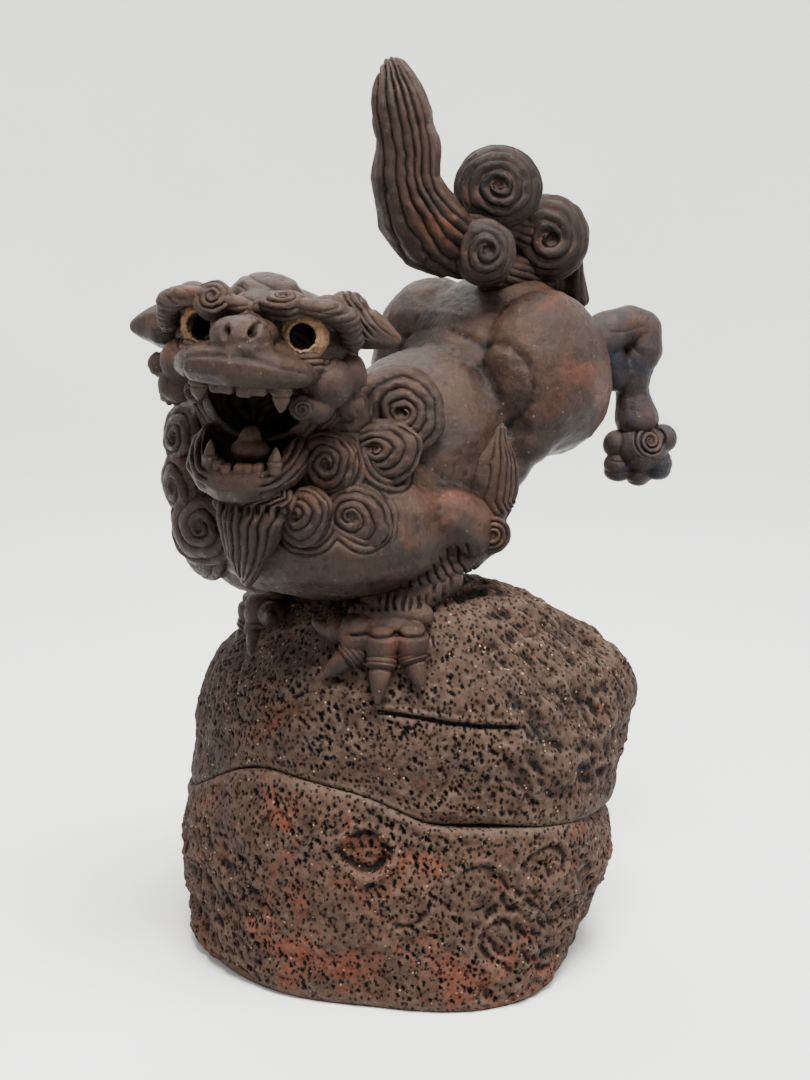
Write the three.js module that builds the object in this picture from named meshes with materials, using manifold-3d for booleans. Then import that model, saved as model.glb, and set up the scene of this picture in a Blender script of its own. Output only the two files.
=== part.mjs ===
// A guardian lion-dog (foo dog, shisa) in hand-built stoneware, pouncing on a rock that parts along a wavy cut:
// the lower rock is a bowl and the upper rock, with the lion on it, is its lift-off lid. The lid, the trunk and
// the head are one connected hollow, open at the mouth, the pupils and a vent under the rump.
// Millimetres, +Z up, origin at the centre of the foot. The body heads along -Y, so its left side is +X.
import * as THREE from "three";
import { mergeVertices } from "three/addons/utils/BufferGeometryUtils.js";
import Module from "manifold-3d";

const wasm = await Module();
wasm.setup();

// ---- driving dimensions -------------------------------------------------------------------------------------
const JOINT_GAP = 0.3; // slip joint between two pieces of clay, and the play of the lid's cut
const ROCK_WALL = 9;
const FLOOR = 10;
const BODY_WALL = 7;
const FLUE_RADIUS = 19; // hole from the lid's hollow up into the chest
const THROAT_RADIUS = 10; // hole from the neck up into the head
const VENT_RADIUS = 7; // hole under the rump, which lets its hollow breathe in the kiln
const SHOULDER_Z = 97; // where the rock's upright sides turn over into its top
const ROCK_TOP_Z = 149;
const ROCK_TOP_AT = [12, -22]; // plan position of the rock's highest point
const TOP_SLOPE = 1.35; // 1 rounds the rock's top as an ellipse does, and more makes it slope like a hill
const TAIL_FACES = [1, -1, 0]; // the quarter that the tail's broad side faces

// Plan radii of the rock at every 45 degrees, counter-clockwise from +X, and the height of the cut there.
const FOOT_RADII = [74, 66, 70, 68, 72, 79, 72, 64];
const WAIST_RADII = [79, 81, 78, 74, 78, 85, 75, 69];
const SHOULDER_RADII = [76, 86, 80, 72, 74, 78, 69, 62];
const WAIST_Z = 45;
const CUT_HEIGHTS = [65, 54, 60, 71, 64, 60, 87, 77];
const ROCK_SIDES = 28;

// ---- materials ----------------------------------------------------------------------------------------------
const CLAY_COLOURS = {
  dark_stoneware: [0x4a3a33, 0.62],
  rock_stoneware: [0x4b3c34, 0.85],
  red_stoneware: [0x5e4033, 0.85],
  tan_clay: [0xb08a5c, 0.8],
  tooth_clay: [0x6b5443, 0.55],
};
const materials = Object.fromEntries(
  Object.entries(CLAY_COLOURS).map(([name, [color, roughness]]) => [
    name,
    new THREE.MeshStandardMaterial({ name, color, roughness, metalness: 0 }),
  ]),
);

// ---- solids -------------------------------------------------------------------------------------------------
function isRepeated(a, b, c) {
  return a === b || b === c || c === a;
}

// A closed geometry as a manifold solid, facing out.
function solidOf(geometry) {
  const bare = new THREE.BufferGeometry();
  bare.setAttribute("position", geometry.getAttribute("position").clone());
  if (geometry.index) bare.setIndex(geometry.index.clone());
  const merged = mergeVertices(bare, 1e-4);
  const corners = merged.index.array;
  const kept = [];
  for (let i = 0; i < corners.length; i += 3) {
    const [a, b, c] = corners.slice(i, i + 3);
    if (!isRepeated(a, b, c)) kept.push(a, b, c);
  }
  const make = (triVerts) =>
    new wasm.Manifold(
      new wasm.Mesh({
        numProp: 3,
        vertProperties: merged.attributes.position.array,
        triVerts,
      }),
    );
  const solid = make(new Uint32Array(kept));
  return solid.volume() > 0 ? solid : make(new Uint32Array(kept.reverse()));
}

function joined(geometries) {
  return geometries.map(solidOf).reduce((whole, next) => whole.add(next));
}

function largestBody(solid) {
  const bodies = solid.decompose();
  return bodies.reduce((a, b) => (b.volume() > a.volume() ? b : a));
}

function geometryOf(solid) {
  const mesh = solid.getMesh();
  const stride = mesh.numProp;
  const positions = new Float32Array(mesh.numVert * 3);
  for (let i = 0; i < mesh.numVert; i++)
    positions.set(mesh.vertProperties.subarray(i * stride, i * stride + 3), i * 3);
  const geometry = new THREE.BufferGeometry();
  geometry.setAttribute("position", new THREE.BufferAttribute(positions, 3));
  geometry.setIndex(new THREE.BufferAttribute(mesh.triVerts, 1));
  geometry.computeVertexNormals();
  return geometry;
}

// ---- clay forms ---------------------------------------------------------------------------------------------
// Each takes `grow`, which swells its surface by that much: the swollen form cuts the joint gap in a neighbour.
const degrees = THREE.MathUtils.degToRad;
const SMALL = { sides: 8, rings: 5 }; // facets enough for a toe

// An egg of clay. `turn` is its rotation about X, Y and Z in degrees.
function egg(at, radii, { turn = [0, 0, 0], grow = 0, sides = 10, rings = 7 } = {}) {
  const geometry = new THREE.SphereGeometry(1, sides, rings);
  geometry.rotateX(Math.PI / 2);
  geometry.scale(...radii.map((r) => r + grow));
  const spin = new THREE.Euler(...turn.map(degrees), "ZXY");
  geometry.applyMatrix4(new THREE.Matrix4().makeRotationFromEuler(spin));
  geometry.translate(...at);
  return geometry;
}

// A rolled and tapered limb along stations of [point, half-width, half-thickness]. Its thickness is measured
// towards `facing`, and its ends are round.
function limb(stations, { facing = [0, 0, 1], grow = 0, sides = 9, rings = 8 } = {}) {
  const curve = new THREE.CatmullRomCurve3(stations.map(([p]) => new THREE.Vector3(...p)));
  const towards = new THREE.Vector3(...facing).normalize();
  const geometry = new THREE.SphereGeometry(1, sides, rings);
  const position = geometry.getAttribute("position");
  const vertex = new THREE.Vector3();
  for (let i = 0; i < position.count; i++) {
    vertex.fromBufferAttribute(position, i);
    const polar = Math.acos(THREE.MathUtils.clamp(vertex.y, -1, 1));
    const t = (1 - Math.cos(polar)) / 2;
    const along = t * (stations.length - 1);
    const k = Math.min(Math.floor(along), stations.length - 2);
    const [wide, thick] = [1, 2].map(
      (n) => THREE.MathUtils.lerp(stations[k][n], stations[k + 1][n], along - k) + grow,
    );
    const tangent = curve.getTangent(t);
    const across = new THREE.Vector3().crossVectors(tangent, towards).normalize();
    const out = new THREE.Vector3().crossVectors(across, tangent).normalize();
    const ring = Math.sin(polar);
    const fullness = ring > 1e-6 ? ring ** -0.4 : 0; // fills the section out, so that only the ends are round
    const point = curve.getPoint(t);
    point.addScaledVector(across, vertex.x * fullness * wide);
    point.addScaledVector(out, vertex.z * fullness * thick);
    point.addScaledVector(tangent, -vertex.y * grow);
    position.setXYZ(i, point.x, point.y, point.z);
  }
  return geometry;
}

// A surface of revolution about `axis`, through profile points of [radius, height].
function turned(at, axis, profile, sides) {
  const geometry = new THREE.LatheGeometry(profile.map((p) => new THREE.Vector2(...p)), sides);
  const up = new THREE.Vector3(0, 1, 0);
  const spin = new THREE.Quaternion().setFromUnitVectors(up, new THREE.Vector3(...axis).normalize());
  geometry.applyQuaternion(spin);
  geometry.translate(...at);
  return geometry;
}

// A strip of clay rolled into a snail: a disc with a rounded rim and a raised eye, thick enough to root in what
// it is pressed on.
function curl(at, axis, radius, height, { grow = 0, root = 6 } = {}) {
  const r = radius + grow;
  const top = height + grow;
  const profile = [
    [0, -root - grow],
    [0.85 * r, -root - grow],
    [r, 0],
    [0.93 * r, 0.55 * top],
    [0.68 * r, 0.9 * top],
    [0, top],
  ];
  return turned(at, axis, profile, 11);
}

// A blunt cone, such as a tooth or a claw, from its root to its tip.
function spike(root, tip, radius, grow = 0) {
  const axis = new THREE.Vector3(...tip).sub(new THREE.Vector3(...root));
  const length = axis.length() + grow;
  const r = radius + grow;
  const profile = [
    [0, -grow],
    [0.8 * r, -grow],
    [r, 0.25 * length],
    [0.62 * r, 0.68 * length],
    [0.2 * r, 0.97 * length],
    [0, length],
  ];
  return turned(root, axis.toArray(), profile, 7);
}

function cylinder(at, axis, radius, low, high, sides = 12) {
  return turned(at, axis, [[0, low], [radius, low], [radius, high], [0, high]], sides);
}

// ---- the rock -----------------------------------------------------------------------------------------------
function planOutline(radii) {
  const step = (2 * Math.PI) / radii.length;
  const points = radii.map((r, i) => new THREE.Vector3(r * Math.cos(i * step), r * Math.sin(i * step), 0));
  return new THREE.CatmullRomCurve3(points, true);
}

const outlines = [FOOT_RADII, WAIST_RADII, SHOULDER_RADII].map(planOutline);
const cutCurve = new THREE.CatmullRomCurve3(
  CUT_HEIGHTS.map((z, i) => new THREE.Vector3(i, 0, z)),
  true,
);

function cutHeight(turn) {
  return cutCurve.getPoint(turn % 1).z;
}

// A point of the rock's upright side: `turn` goes round from 0 to 1, and `inset` is its depth in the clay.
function rockSide(turn, z, inset) {
  const share = z / WAIST_Z;
  const [lower, upper, t] =
    share < 1 ? [0, 1, share] : [1, 2, (z - WAIST_Z) / (SHOULDER_Z - WAIST_Z)];
  const eased = THREE.MathUtils.smoothstep(t, 0, 1);
  const point = outlines[lower].getPoint(turn % 1).lerp(outlines[upper].getPoint(turn % 1), eased);
  point.setLength(point.length() - inset);
  point.z = z;
  return point;
}

// A point of the rock's rounded top: `climb` goes from 0 at the shoulder to 1 at the highest point.
function rockTop(turn, climb, inset) {
  const shoulder = rockSide(turn, SHOULDER_Z, inset);
  const [x, y] = ROCK_TOP_AT;
  const reach = Math.cos((climb * Math.PI) / 2);
  const point = new THREE.Vector3(x, y, 0).lerp(shoulder.clone().setZ(0), reach);
  const rise = ROCK_TOP_Z - inset - SHOULDER_Z;
  point.z = SHOULDER_Z + rise * Math.sin((climb * Math.PI) / 2) ** TOP_SLOPE;
  return point;
}

// A shell round the axis from a closed profile: each entry places a point for a given turn.
function shell(profile) {
  const template = new THREE.LatheGeometry(
    profile.map((_, i) => new THREE.Vector2(1, i)),
    ROCK_SIDES,
  );
  const position = template.getAttribute("position");
  for (let i = 0; i < position.count; i++) {
    const turn = Math.floor(i / profile.length) / ROCK_SIDES;
    const point = profile[i % profile.length](turn);
    position.setXYZ(i, point.x, point.y, point.z);
  }
  return template;
}

const onAxis = (z) => () => new THREE.Vector3(0, 0, z);
const bowlSide = (share, inset, from) => (turn) => {
  const rim = cutHeight(turn) - JOINT_GAP / 2;
  return rockSide(turn, THREE.MathUtils.lerp(from, rim, share), inset);
};
const lidSide = (share, inset) => (turn) => {
  const rim = cutHeight(turn) + JOINT_GAP / 2;
  return rockSide(turn, THREE.MathUtils.lerp(rim, SHOULDER_Z, share), inset);
};
const lidTop = (climb, inset) => (turn) => rockTop(turn, climb, inset);

function rockBase() {
  const outside = [0, 0.33, 0.66, 1].map((share) => bowlSide(share, 0, 0));
  const inside = [1, 0.5, 0].map((share) => bowlSide(share, ROCK_WALL, FLOOR));
  return shell([onAxis(0), ...outside, ...inside, onAxis(FLOOR)]);
}

function rockLid(grow = 0) {
  const climbs = [0.3, 0.6, 0.85];
  const outside = [0, 0.5, 1].map((share) => lidSide(share, -grow));
  const inside = [1, 0].map((share) => lidSide(share, ROCK_WALL));
  return shell([
    lidTop(1, ROCK_WALL),
    ...climbs.toReversed().map((climb) => lidTop(climb, ROCK_WALL)),
    ...inside,
    ...outside,
    ...climbs.map((climb) => lidTop(climb, -grow)),
    lidTop(1, -grow),
  ]);
}

// ---- the lion's trunk ---------------------------------------------------------------------------------------
const CHEST = { at: [0, -33, 170], radii: [44, 52, 32], turn: [-4, 0, 0] };
const RUMP = { at: [0, 51, 209], radii: [40, 42, 42], turn: [0, 0, 0] };
const LOIN = { at: [0, 8, 190], radii: [37, 44, 36], turn: [28, 0, 0] };
const NECK = [
  [[2, -36, 168], 32, 34],
  [[5, -44, 190], 30, 30],
  [[4, -56, 215], 23, 19],
];
const FLUE_AT = [2, -24, 0];
const VENT_AT = [0, 54, 0];

function trunkMass(grow, sides) {
  const rings = sides / 2 + 2;
  const eggs = [CHEST, LOIN, RUMP].map(({ at, radii, turn }) => egg(at, radii, { turn, grow, sides, rings }));
  return [...eggs, limb(NECK, { facing: [0, 1, 0.4], grow, sides })];
}

// ---- assembling ---------------------------------------------------------------------------------------------
const statue = new THREE.Group();
const base = new THREE.Group();
const lid = new THREE.Group();
const head = new THREE.Group();
const jaw = new THREE.Group();
statue.add(base, lid);
lid.add(head);
head.add(jaw);
head.position.set(4, -70, 224);
head.rotation.set(0, degrees(4), degrees(34), "ZXY"); // looks to its left, and leans its head that way
jaw.position.set(-1.5, 2, -3);
jaw.rotation.x = degrees(17); // dropped open
statue.updateMatrixWorld(true);

const placed = [];

// Adds a named piece to `group`. `form(grow)` gives { add, cut, sealed }: the clay forms it is joined from and
// those cut out of it, in the group's frame. Every piece already placed cuts its joint gap into this one. A
// sealed piece does that with its whole outside, so nothing reaches into its hollow.
function place(group, name, material, form) {
  const inPart = (geometries) => geometries.map((g) => g.clone().applyMatrix4(group.matrixWorld));
  const { add, cut = [], sealed = false } = form(0);
  let solid = joined(inPart(add));
  if (cut.length) solid = solid.subtract(joined(inPart(cut)));
  const bounds = boundsOf(solid);
  for (const neighbour of placed)
    if (bounds.intersectsBox(neighbour.bounds)) solid = solid.subtract(neighbour.cutter);
  solid = largestBody(solid);
  const grown = form(JOINT_GAP);
  let cutter = joined(inPart(grown.add));
  if (grown.cut?.length && !sealed) cutter = cutter.subtract(joined(inPart(grown.cut)));
  placed.push({ bounds: boundsOf(cutter), cutter });
  const mesh = new THREE.Mesh(geometryOf(solid), materials[material]);
  mesh.geometry.applyMatrix4(group.matrixWorld.clone().invert());
  mesh.name = name;
  group.add(mesh);
}

function boundsOf(solid) {
  const { min, max } = solid.boundingBox();
  return new THREE.Box3(new THREE.Vector3(...min), new THREE.Vector3(...max));
}

// The lion's two sides: side is +1 on its left and -1 on its right.
const SIDES = [["left", 1], ["right", -1]];
const mirrored = (side, [x, y, z]) => [side * x, y, z];

// ---- rock and trunk -----------------------------------------------------------------------------------------
place(base, "rock_base", "red_stoneware", () => ({ add: [rockBase()] }));

place(lid, "rock_lid", "rock_stoneware", (grow) => ({
  add: [rockLid(grow)],
  cut: [cylinder(FLUE_AT, [0, 0, 1], FLUE_RADIUS - grow, 110, 160)],
}));

place(lid, "trunk", "dark_stoneware", (grow) => ({
  add: trunkMass(grow, 12),
  cut: [
    ...trunkMass(-BODY_WALL - grow, 8),
    cylinder(FLUE_AT, [0, 0, 1], FLUE_RADIUS - grow, 110, 165),
    cylinder(VENT_AT, [0, 0, 1], VENT_RADIUS - grow, 155, 190),
    cylinder([5, -52, 206], [0, -0.72, 0.69], THROAT_RADIUS - grow, -12, 30), // up the neck to the throat
  ],
  sealed: true,
}));

// ---- head ---------------------------------------------------------------------------------------------------
const EYE_AT = [16.3, -18, 21.5];
const EYE_RADIUS = 8.4;
const PUPIL_RADIUS = 4.6;
const eyeAxis = (side) => [side * 0.2, -1, 0.12];
const pupilBore = (side, radius, low, high) =>
  cylinder(mirrored(side, EYE_AT), eyeAxis(side), radius, low, high);

// A row of four teeth on a strip of gum, along the arc of a lip. `at(x)` is the tooth's middle.
function teeth(at, height, grow) {
  const spacing = 5;
  const strip = [-1.7, 0, 1.7].map((n) => [at(n * spacing), 2.4, 2.4]);
  const fineness = { grow, sides: 7, rings: 5 };
  const crowns = [-1.5, -0.5, 0.5, 1.5].map((n) => egg(at(n * spacing), [2.8, 2.6, height], fineness));
  return [limb(strip, { facing: [0, 1, 0], ...fineness }), ...crowns];
}

place(head, "upper_teeth", "tooth_clay", (grow) => ({
  add: teeth((x) => [x, -35 + 0.05 * x * x, 4.5], 4.5, grow),
}));
place(jaw, "lower_teeth", "tooth_clay", (grow) => ({
  add: teeth((x) => [x, -34.5 + 0.05 * x * x, -8.5], 4.5, grow),
}));

place(head, "head_shell", "dark_stoneware", (grow) => ({
  add: [
    egg([0, 0, 15], [31, 27, 19], { grow, sides: 14, rings: 9 }), // skull
    egg([0, -20, 12], [19.5, 20, 9.5], { grow }), // upper muzzle
    egg([0, 6, -4], [27, 19, 22], { grow, sides: 14, rings: 9 }), // back of the jaws
  ],
  cut: [
    egg([0, -2, 4], [21, 17, 21], { grow: -grow }),
    limb([[[0, -2, -6], 16, 10], [[0, -22, -8], 17, 11.5], [[0, -46, -9], 19, 12]], { grow: -grow }), // gape
    cylinder([0, 0, -8], [0.43, 0.57, -0.7], THROAT_RADIUS - grow, 0, 45),
    ...SIDES.map(([, side]) => pupilBore(side, PUPIL_RADIUS - grow, -14, 14)),
  ],
}));

place(jaw, "lower_jaw", "dark_stoneware", (grow) => ({
  add: [egg([0, -17, -14], [20.5, 25, 12], { grow, sides: 14, rings: 8 })],
  cut: [
    egg([0, -15, -3], [16, 20, 15], { grow: -grow }),
    egg([0, -22, 16], [26, 45, 25], { grow: -grow }),
  ],
}));

place(jaw, "tongue", "dark_stoneware", (grow) => ({
  add: [
    egg([0, -14, -15.5], [10, 16, 4.5], { grow }),
    egg([0, -14, -12], [5, 12, 5], { grow, ...SMALL }),
  ],
}));

for (const [word, side] of SIDES)
  place(jaw, `lower_fang_${word}`, "tooth_clay", (grow) => ({
    add: [spike([side * 13.5, -30, -14], [side * 14, -30.5, -1], 3, grow)],
  }));

place(head, "upper_lip", "dark_stoneware", (grow) => ({
  add: [
    limb(
      [
        [[-21, -18, 9], 5, 5],
        [[-15, -35, 12.5], 6, 6],
        [[0, -42, 14], 6.4, 6.4],
        [[15, -35, 12.5], 6, 6],
        [[21, -18, 9], 5, 5],
      ],
      { grow },
    ),
  ],
}));

place(head, "nose", "dark_stoneware", (grow) => ({
  add: [egg([0.5, -36, 22.5], [10, 8.5, 6.5], { grow })],
}));

for (const [word, side] of SIDES) {
  place(head, `upper_fang_${word}`, "tooth_clay", (grow) => ({
    add: [spike([side * 13.6, -29.5, 7], [side * 13.8, -32, -4], 3.5, grow)],
  }));
  place(head, `eye_${word}`, "tan_clay", (grow) => ({
    add: [egg(mirrored(side, EYE_AT), [EYE_RADIUS, 6, EYE_RADIUS], { turn: [0, 0, side * 11], grow })],
    cut: [pupilBore(side, PUPIL_RADIUS - 0.2 - grow, -20, 20)],
    sealed: true,
  }));
  place(head, `cheek_${word}`, "dark_stoneware", (grow) => ({
    add: [
      egg([side * 27, -11, 3.5], [10.5, 11, 11], { grow }),
      egg([side * 19.5, -23, -1], [4.6, 4.6, 4.6], { grow, ...SMALL }), // curl at the lip's corner
    ],
  }));
  place(head, `brow_${word}`, "dark_stoneware", (grow) => ({
    add: [
      limb(
        [
          [[side * 3, -23, 29], 5.5, 5],
          [[side * 15, -22, 30.5], 6, 5.5],
          [[side * 27, -15, 27], 6.5, 6],
          [[side * 32, -4, 23], 7, 7],
        ],
        { grow },
      ),
    ],
  }));
  place(head, `brow_curl_${word}`, "dark_stoneware", (grow) => ({
    add: [curl([side * 13, -16, 32.5], [side * 0.1, -0.55, 0.8], 7.5, 3.4, { grow, root: 4 })],
  }));
}

place(head, "crown_tuft", "dark_stoneware", (grow) => ({
  add: [egg([0, -4, 31.5], [12, 12, 7], { grow })],
}));

place(head, "ear_left", "dark_stoneware", (grow) => ({
  add: [
    limb([[[23, 0, 25], 9, 8], [[33, 4, 22], 8, 7], [[43, 8, 18], 3, 3]], { grow }),
    egg([26, 3, 28], [7.5, 7, 6], { grow }),
  ],
}));
place(head, "ear_right", "dark_stoneware", (grow) => ({
  add: [limb([[[-28, 0, 17], 9, 9], [[-37, 1, 17], 8, 7.5], [[-48, 1, 15.5], 3, 3]], { grow })],
}));

// ---- mane, beard --------------------------------------------------------------------------------------------
place(lid, "beard", "dark_stoneware", (grow) => ({
  add: [
    limb(
      [
        [[17, -89, 194], 13, 6],
        [[16, -88, 184], 12.5, 7],
        [[12, -86, 172], 8, 6.5],
        [[6, -81, 158], 3, 4],
      ],
      { facing: [0.55, -0.84, 0], grow },
    ),
  ],
}));

// [name, place of its middle on the coat, way that it faces, radius, height]
const MANE_CURLS = [
  ["shoulder", [26, -24, 213], [0.72, -0.6, 0.25], 15, 5],
  ["nape", [22, -46, 213], [0.7, -0.6, 0.3], 9.5, 5],
  ["throat_left", [28, -59, 199], [0.6, -0.8, 0], 10.5, 5],
  ["neck_left", [32, -38, 200], [0.75, -0.65, 0.1], 11.5, 5],
  ["breast_left", [29, -70, 183], [0.5, -0.85, 0.1], 10, 5],
  ["breast_outer", [36, -53, 181], [0.7, -0.7, 0.1], 10, 5],
  ["breast_right", [-15, -84, 178], [-0.1, -0.98, 0.1], 10.5, 6],
  ["throat_right", [-29, -78, 205], [-0.6, -0.8, 0.1], 10, 5],
  ["jowl_right", [-26, -82, 190], [-0.6, -0.8, 0], 9, 5],
  ["neck_right", [-26, -47, 205], [-0.95, -0.1, 0.3], 13, 5],
  ["breast_low", [-22, -78, 166], [-0.5, -0.85, -0.1], 9, 5],
];
for (const [name, at, axis, radius, height] of MANE_CURLS)
  place(lid, `mane_curl_${name}`, "dark_stoneware", (grow) => ({
    add: [curl(at, axis, radius, height, { grow, root: 9 })],
  }));

// ---- legs ---------------------------------------------------------------------------------------------------
const TOE_SPACING = 12.5;
const HEELS = { left: [31, -34.5, 140], right: [-25, -36, 136] }; // the fore paws' heels

// A paw on the rock's slope: palm, three toes side by side, a dew toe, and a claw to each of the three.
function forePaw(word, side) {
  const heel = new THREE.Vector3(...HEELS[word]);
  const ahead = new THREE.Vector3(side * 0.3, -0.8, -0.62).normalize();
  const sideways = new THREE.Vector3(1, 0.3 * side, 0).normalize();
  const at = (forward, across, lift = 0) =>
    heel
      .clone()
      .addScaledVector(ahead, forward)
      .addScaledVector(sideways, across)
      .add(new THREE.Vector3(0, 0, lift))
      .toArray();
  const toes = [-1, 0, 1];
  place(lid, `fore_paw_${word}`, "dark_stoneware", (grow) => ({
    add: [
      limb([[at(-9, 0, 2), 9, 7], [at(0, 0, 1), 15, 7.5], [at(9, 0, -1), 15, 6]], {
        facing: [0, -0.6, 0.8],
        grow,
      }),
      ...toes.map((n) =>
        egg(at(10 - n * n, TOE_SPACING * n), [6.8, 7.5, 6.5], { turn: [-38, 0, 0], grow, ...SMALL }),
      ),
      egg(at(5, -side * 21, -2), [6, 7, 5.5], { turn: [-30, 0, 0], grow, ...SMALL }),
    ],
  }));
  toes.forEach((n, i) => {
    const root = at(14 - n * n, TOE_SPACING * 1.1 * n, -1.5);
    const tip = at(30 - 7 * n * n, TOE_SPACING * 1.7 * n, -2.5);
    place(lid, `fore_claw_${word}_${i + 1}`, "tooth_clay", (grow) => ({ add: [spike(root, tip, 4.6, grow)] }));
  });
}

for (const [word, side] of SIDES) {
  place(lid, `haunch_${word}`, "dark_stoneware", (grow) => ({
    add: [egg([side * 28, 45, 213], [21, 29, 35], { turn: [8, 0, 0], grow, sides: 14, rings: 9 })],
  }));
  place(lid, `fore_leg_${word}`, "dark_stoneware", (grow) => ({
    add: [
      limb(
        [
          [mirrored(side, [34, -22, 180]), 15, 13],
          [mirrored(side, [37, -8, 171]), 13, 11],
          [mirrored(side, [36, 0, 162]), 9, 8],
          [mirrored(side, [34, -14, 155]), 7.5, 7],
          [HEELS[word].map((v, i) => v + [0, 4, 7][i]), 9, 7],
        ],
        { facing: mirrored(side, [1, 0, 0.3]), grow, rings: 12 },
      ),
    ],
  }));
  forePaw(word, side);
  place(lid, `elbow_tuft_${word}`, "dark_stoneware", (grow) => ({
    add: [
      limb(
        [
          [mirrored(side, [36, 7, 165]), 6, 7],
          [mirrored(side, [36, 6, 177]), 11, 6],
          [mirrored(side, [37, 8, 190]), 10, 5],
          [mirrored(side, [38, 11, 205]), 2, 3],
        ],
        { facing: mirrored(side, [0.8, -0.6, 0]), grow },
      ),
      curl(mirrored(side, [36, 5, 167]), mirrored(side, [0.8, -0.6, 0]), 8, 5, { grow, root: 5 }),
    ],
  }));
  place(lid, `hind_leg_${word}`, "dark_stoneware", (grow) => ({
    add: [
      limb(
        [
          [mirrored(side, [33, 68, 226]), 10, 10],
          [mirrored(side, [36, 82, 230]), 9.5, 9.5],
          [mirrored(side, [38, 90, 225]), 10.5, 10],
          [mirrored(side, [38, 91, 211]), 7, 7.5],
          [mirrored(side, [38, 92, 196]), 7, 7.5],
        ],
        { facing: [1, 0, 0], grow, rings: 11 },
      ),
    ],
  }));
  place(lid, `hind_paw_${word}`, "dark_stoneware", (grow) => ({
    add: [
      egg(mirrored(side, [38, 93, 187]), [12, 13, 10], { grow }),
      ...[-8, 0, 8].map((across) =>
        egg(mirrored(side, [37 + across, 95 - 0.04 * across * across, 177]), [4.8, 8, 8], { grow, ...SMALL }),
      ),
    ],
  }));
}

// ---- tail ---------------------------------------------------------------------------------------------------
place(lid, "tail_plume", "dark_stoneware", (grow) => ({
  add: [
    limb(
      [
        [[9, 36, 254], 9, 7],
        [[6, 24, 262], 13, 8],
        [[3, 9, 270], 15.5, 9],
        [[0, 0, 284], 15, 9],
        [[0, -1, 299], 13.5, 8.5],
        [[-1, -4, 314], 11, 7.5],
        [[-2, -5, 330], 4.5, 4],
      ],
      { facing: TAIL_FACES, grow, sides: 10, rings: 13 },
    ),
  ],
}));

const TAIL_CURLS = [
  ["upper", [7, 41, 284], [17, 15.5, 11]],
  ["rear", [9, 66, 266], [15, 15, 10]],
  ["lower", [12.5, 26, 262], [9.5, 9, 7.5]],
];
for (const [name, at, [wide, tall, thick]] of TAIL_CURLS)
  place(lid, `tail_curl_${name}`, "dark_stoneware", (grow) => ({
    add: [egg(at, [wide, thick, tall], { turn: [0, 0, 45], grow, sides: 14 })],
  }));

place(lid, "tail_root", "dark_stoneware", (grow) => ({
  add: [
    limb(
      [
        [[5, 44, 258], 12, 8],
        [[7, 60, 256], 13, 9],
        [[8, 76, 252], 9, 8],
        [[5, 86, 238], 6, 6],
      ],
      { facing: [0, 0.4, 1], grow },
    ),
  ],
}));

export default statue;
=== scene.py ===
"""A guardian lion-dog (foo dog, shisa) in fired stoneware, pouncing on a rock that opens: the clay's finished
surface and colours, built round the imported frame. Points are in millimetres until they go into a mesh.
"""

import math

import bpy
import numpy as np
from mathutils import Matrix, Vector
from mathutils.bvhtree import BVHTree


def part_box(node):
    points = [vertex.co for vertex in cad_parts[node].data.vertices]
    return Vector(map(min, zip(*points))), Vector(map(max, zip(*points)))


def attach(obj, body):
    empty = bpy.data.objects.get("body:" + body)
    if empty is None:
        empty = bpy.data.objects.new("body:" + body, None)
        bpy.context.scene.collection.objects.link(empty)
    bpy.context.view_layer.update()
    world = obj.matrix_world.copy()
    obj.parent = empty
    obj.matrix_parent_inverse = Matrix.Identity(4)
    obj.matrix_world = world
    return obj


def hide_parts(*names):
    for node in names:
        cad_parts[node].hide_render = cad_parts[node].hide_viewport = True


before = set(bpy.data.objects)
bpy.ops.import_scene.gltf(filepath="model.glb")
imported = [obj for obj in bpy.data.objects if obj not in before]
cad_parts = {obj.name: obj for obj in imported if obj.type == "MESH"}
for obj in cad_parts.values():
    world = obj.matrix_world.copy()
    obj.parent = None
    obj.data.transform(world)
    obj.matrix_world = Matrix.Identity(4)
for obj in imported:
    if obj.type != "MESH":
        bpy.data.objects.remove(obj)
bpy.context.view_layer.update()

MM = 0.001
SIDES = (("left", 1), ("right", -1))


# ---- noise --------------------
def lattice(cell, seed):
    """A repeatable random number from 0 to 1 for each whole-numbered cell."""
    h = cell[..., 0] * 73856093 ^ cell[..., 1] * 19349663 ^ cell[..., 2] * 83492791 ^ (seed * 40503 + 977)
    h = ((h & 0xFFFFFFFF) ^ (h >> 15 & 0x1FFFF)) * 2246822519 & 0xFFFFFFFF
    h = (h ^ (h >> 13)) * 3266489917 & 0xFFFFFFFF
    return (h ^ (h >> 16)) / 0xFFFFFFFF


def noise(points, size, seed=0):
    """Smooth noise from -1 to 1 with lumps about `size` across."""
    scaled = points / size
    cell = np.floor(scaled).astype(np.int64)
    part = scaled - cell
    part = part * part * (3 - 2 * part)
    total = np.zeros(len(points))
    for corner in np.ndindex(2, 2, 2):
        share = np.prod(np.where(corner, part, 1 - part), axis=1)
        total += share * lattice(cell + np.array(corner), seed)
    return 2 * total - 1


def fractal(points, size, seed=0):
    """Noise from -1 to 1 in three octaves, the largest about `size` across."""
    return sum(noise(points, size / 2**k, seed + k) / 2**k for k in range(3)) / 1.75


def to_nearest_seed(points, spacing, seed):
    """Distance to the nearest of the seeds that are scattered one to each cell of that spacing."""
    scaled = points / spacing
    cell = np.floor(scaled).astype(np.int64)
    nearest = np.full(len(points), np.inf)
    for beside in np.ndindex(3, 3, 3):
        near = cell + np.array(beside) - 1
        spot = near + np.stack([lattice(near, seed + k) for k in range(3)], axis=1)
        nearest = np.minimum(nearest, np.linalg.norm(scaled - spot, axis=1))
    return nearest * spacing


def step(low, high, value):
    """0 up to `low` and 1 from `high` on, with a smooth rise between. `high` may be the lesser of the two."""
    t = np.clip((value - low) / (high - low), 0, 1)
    return t * t * (3 - 2 * t)


def bell(value, width):
    return np.exp(-((value / width) ** 2))


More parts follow.
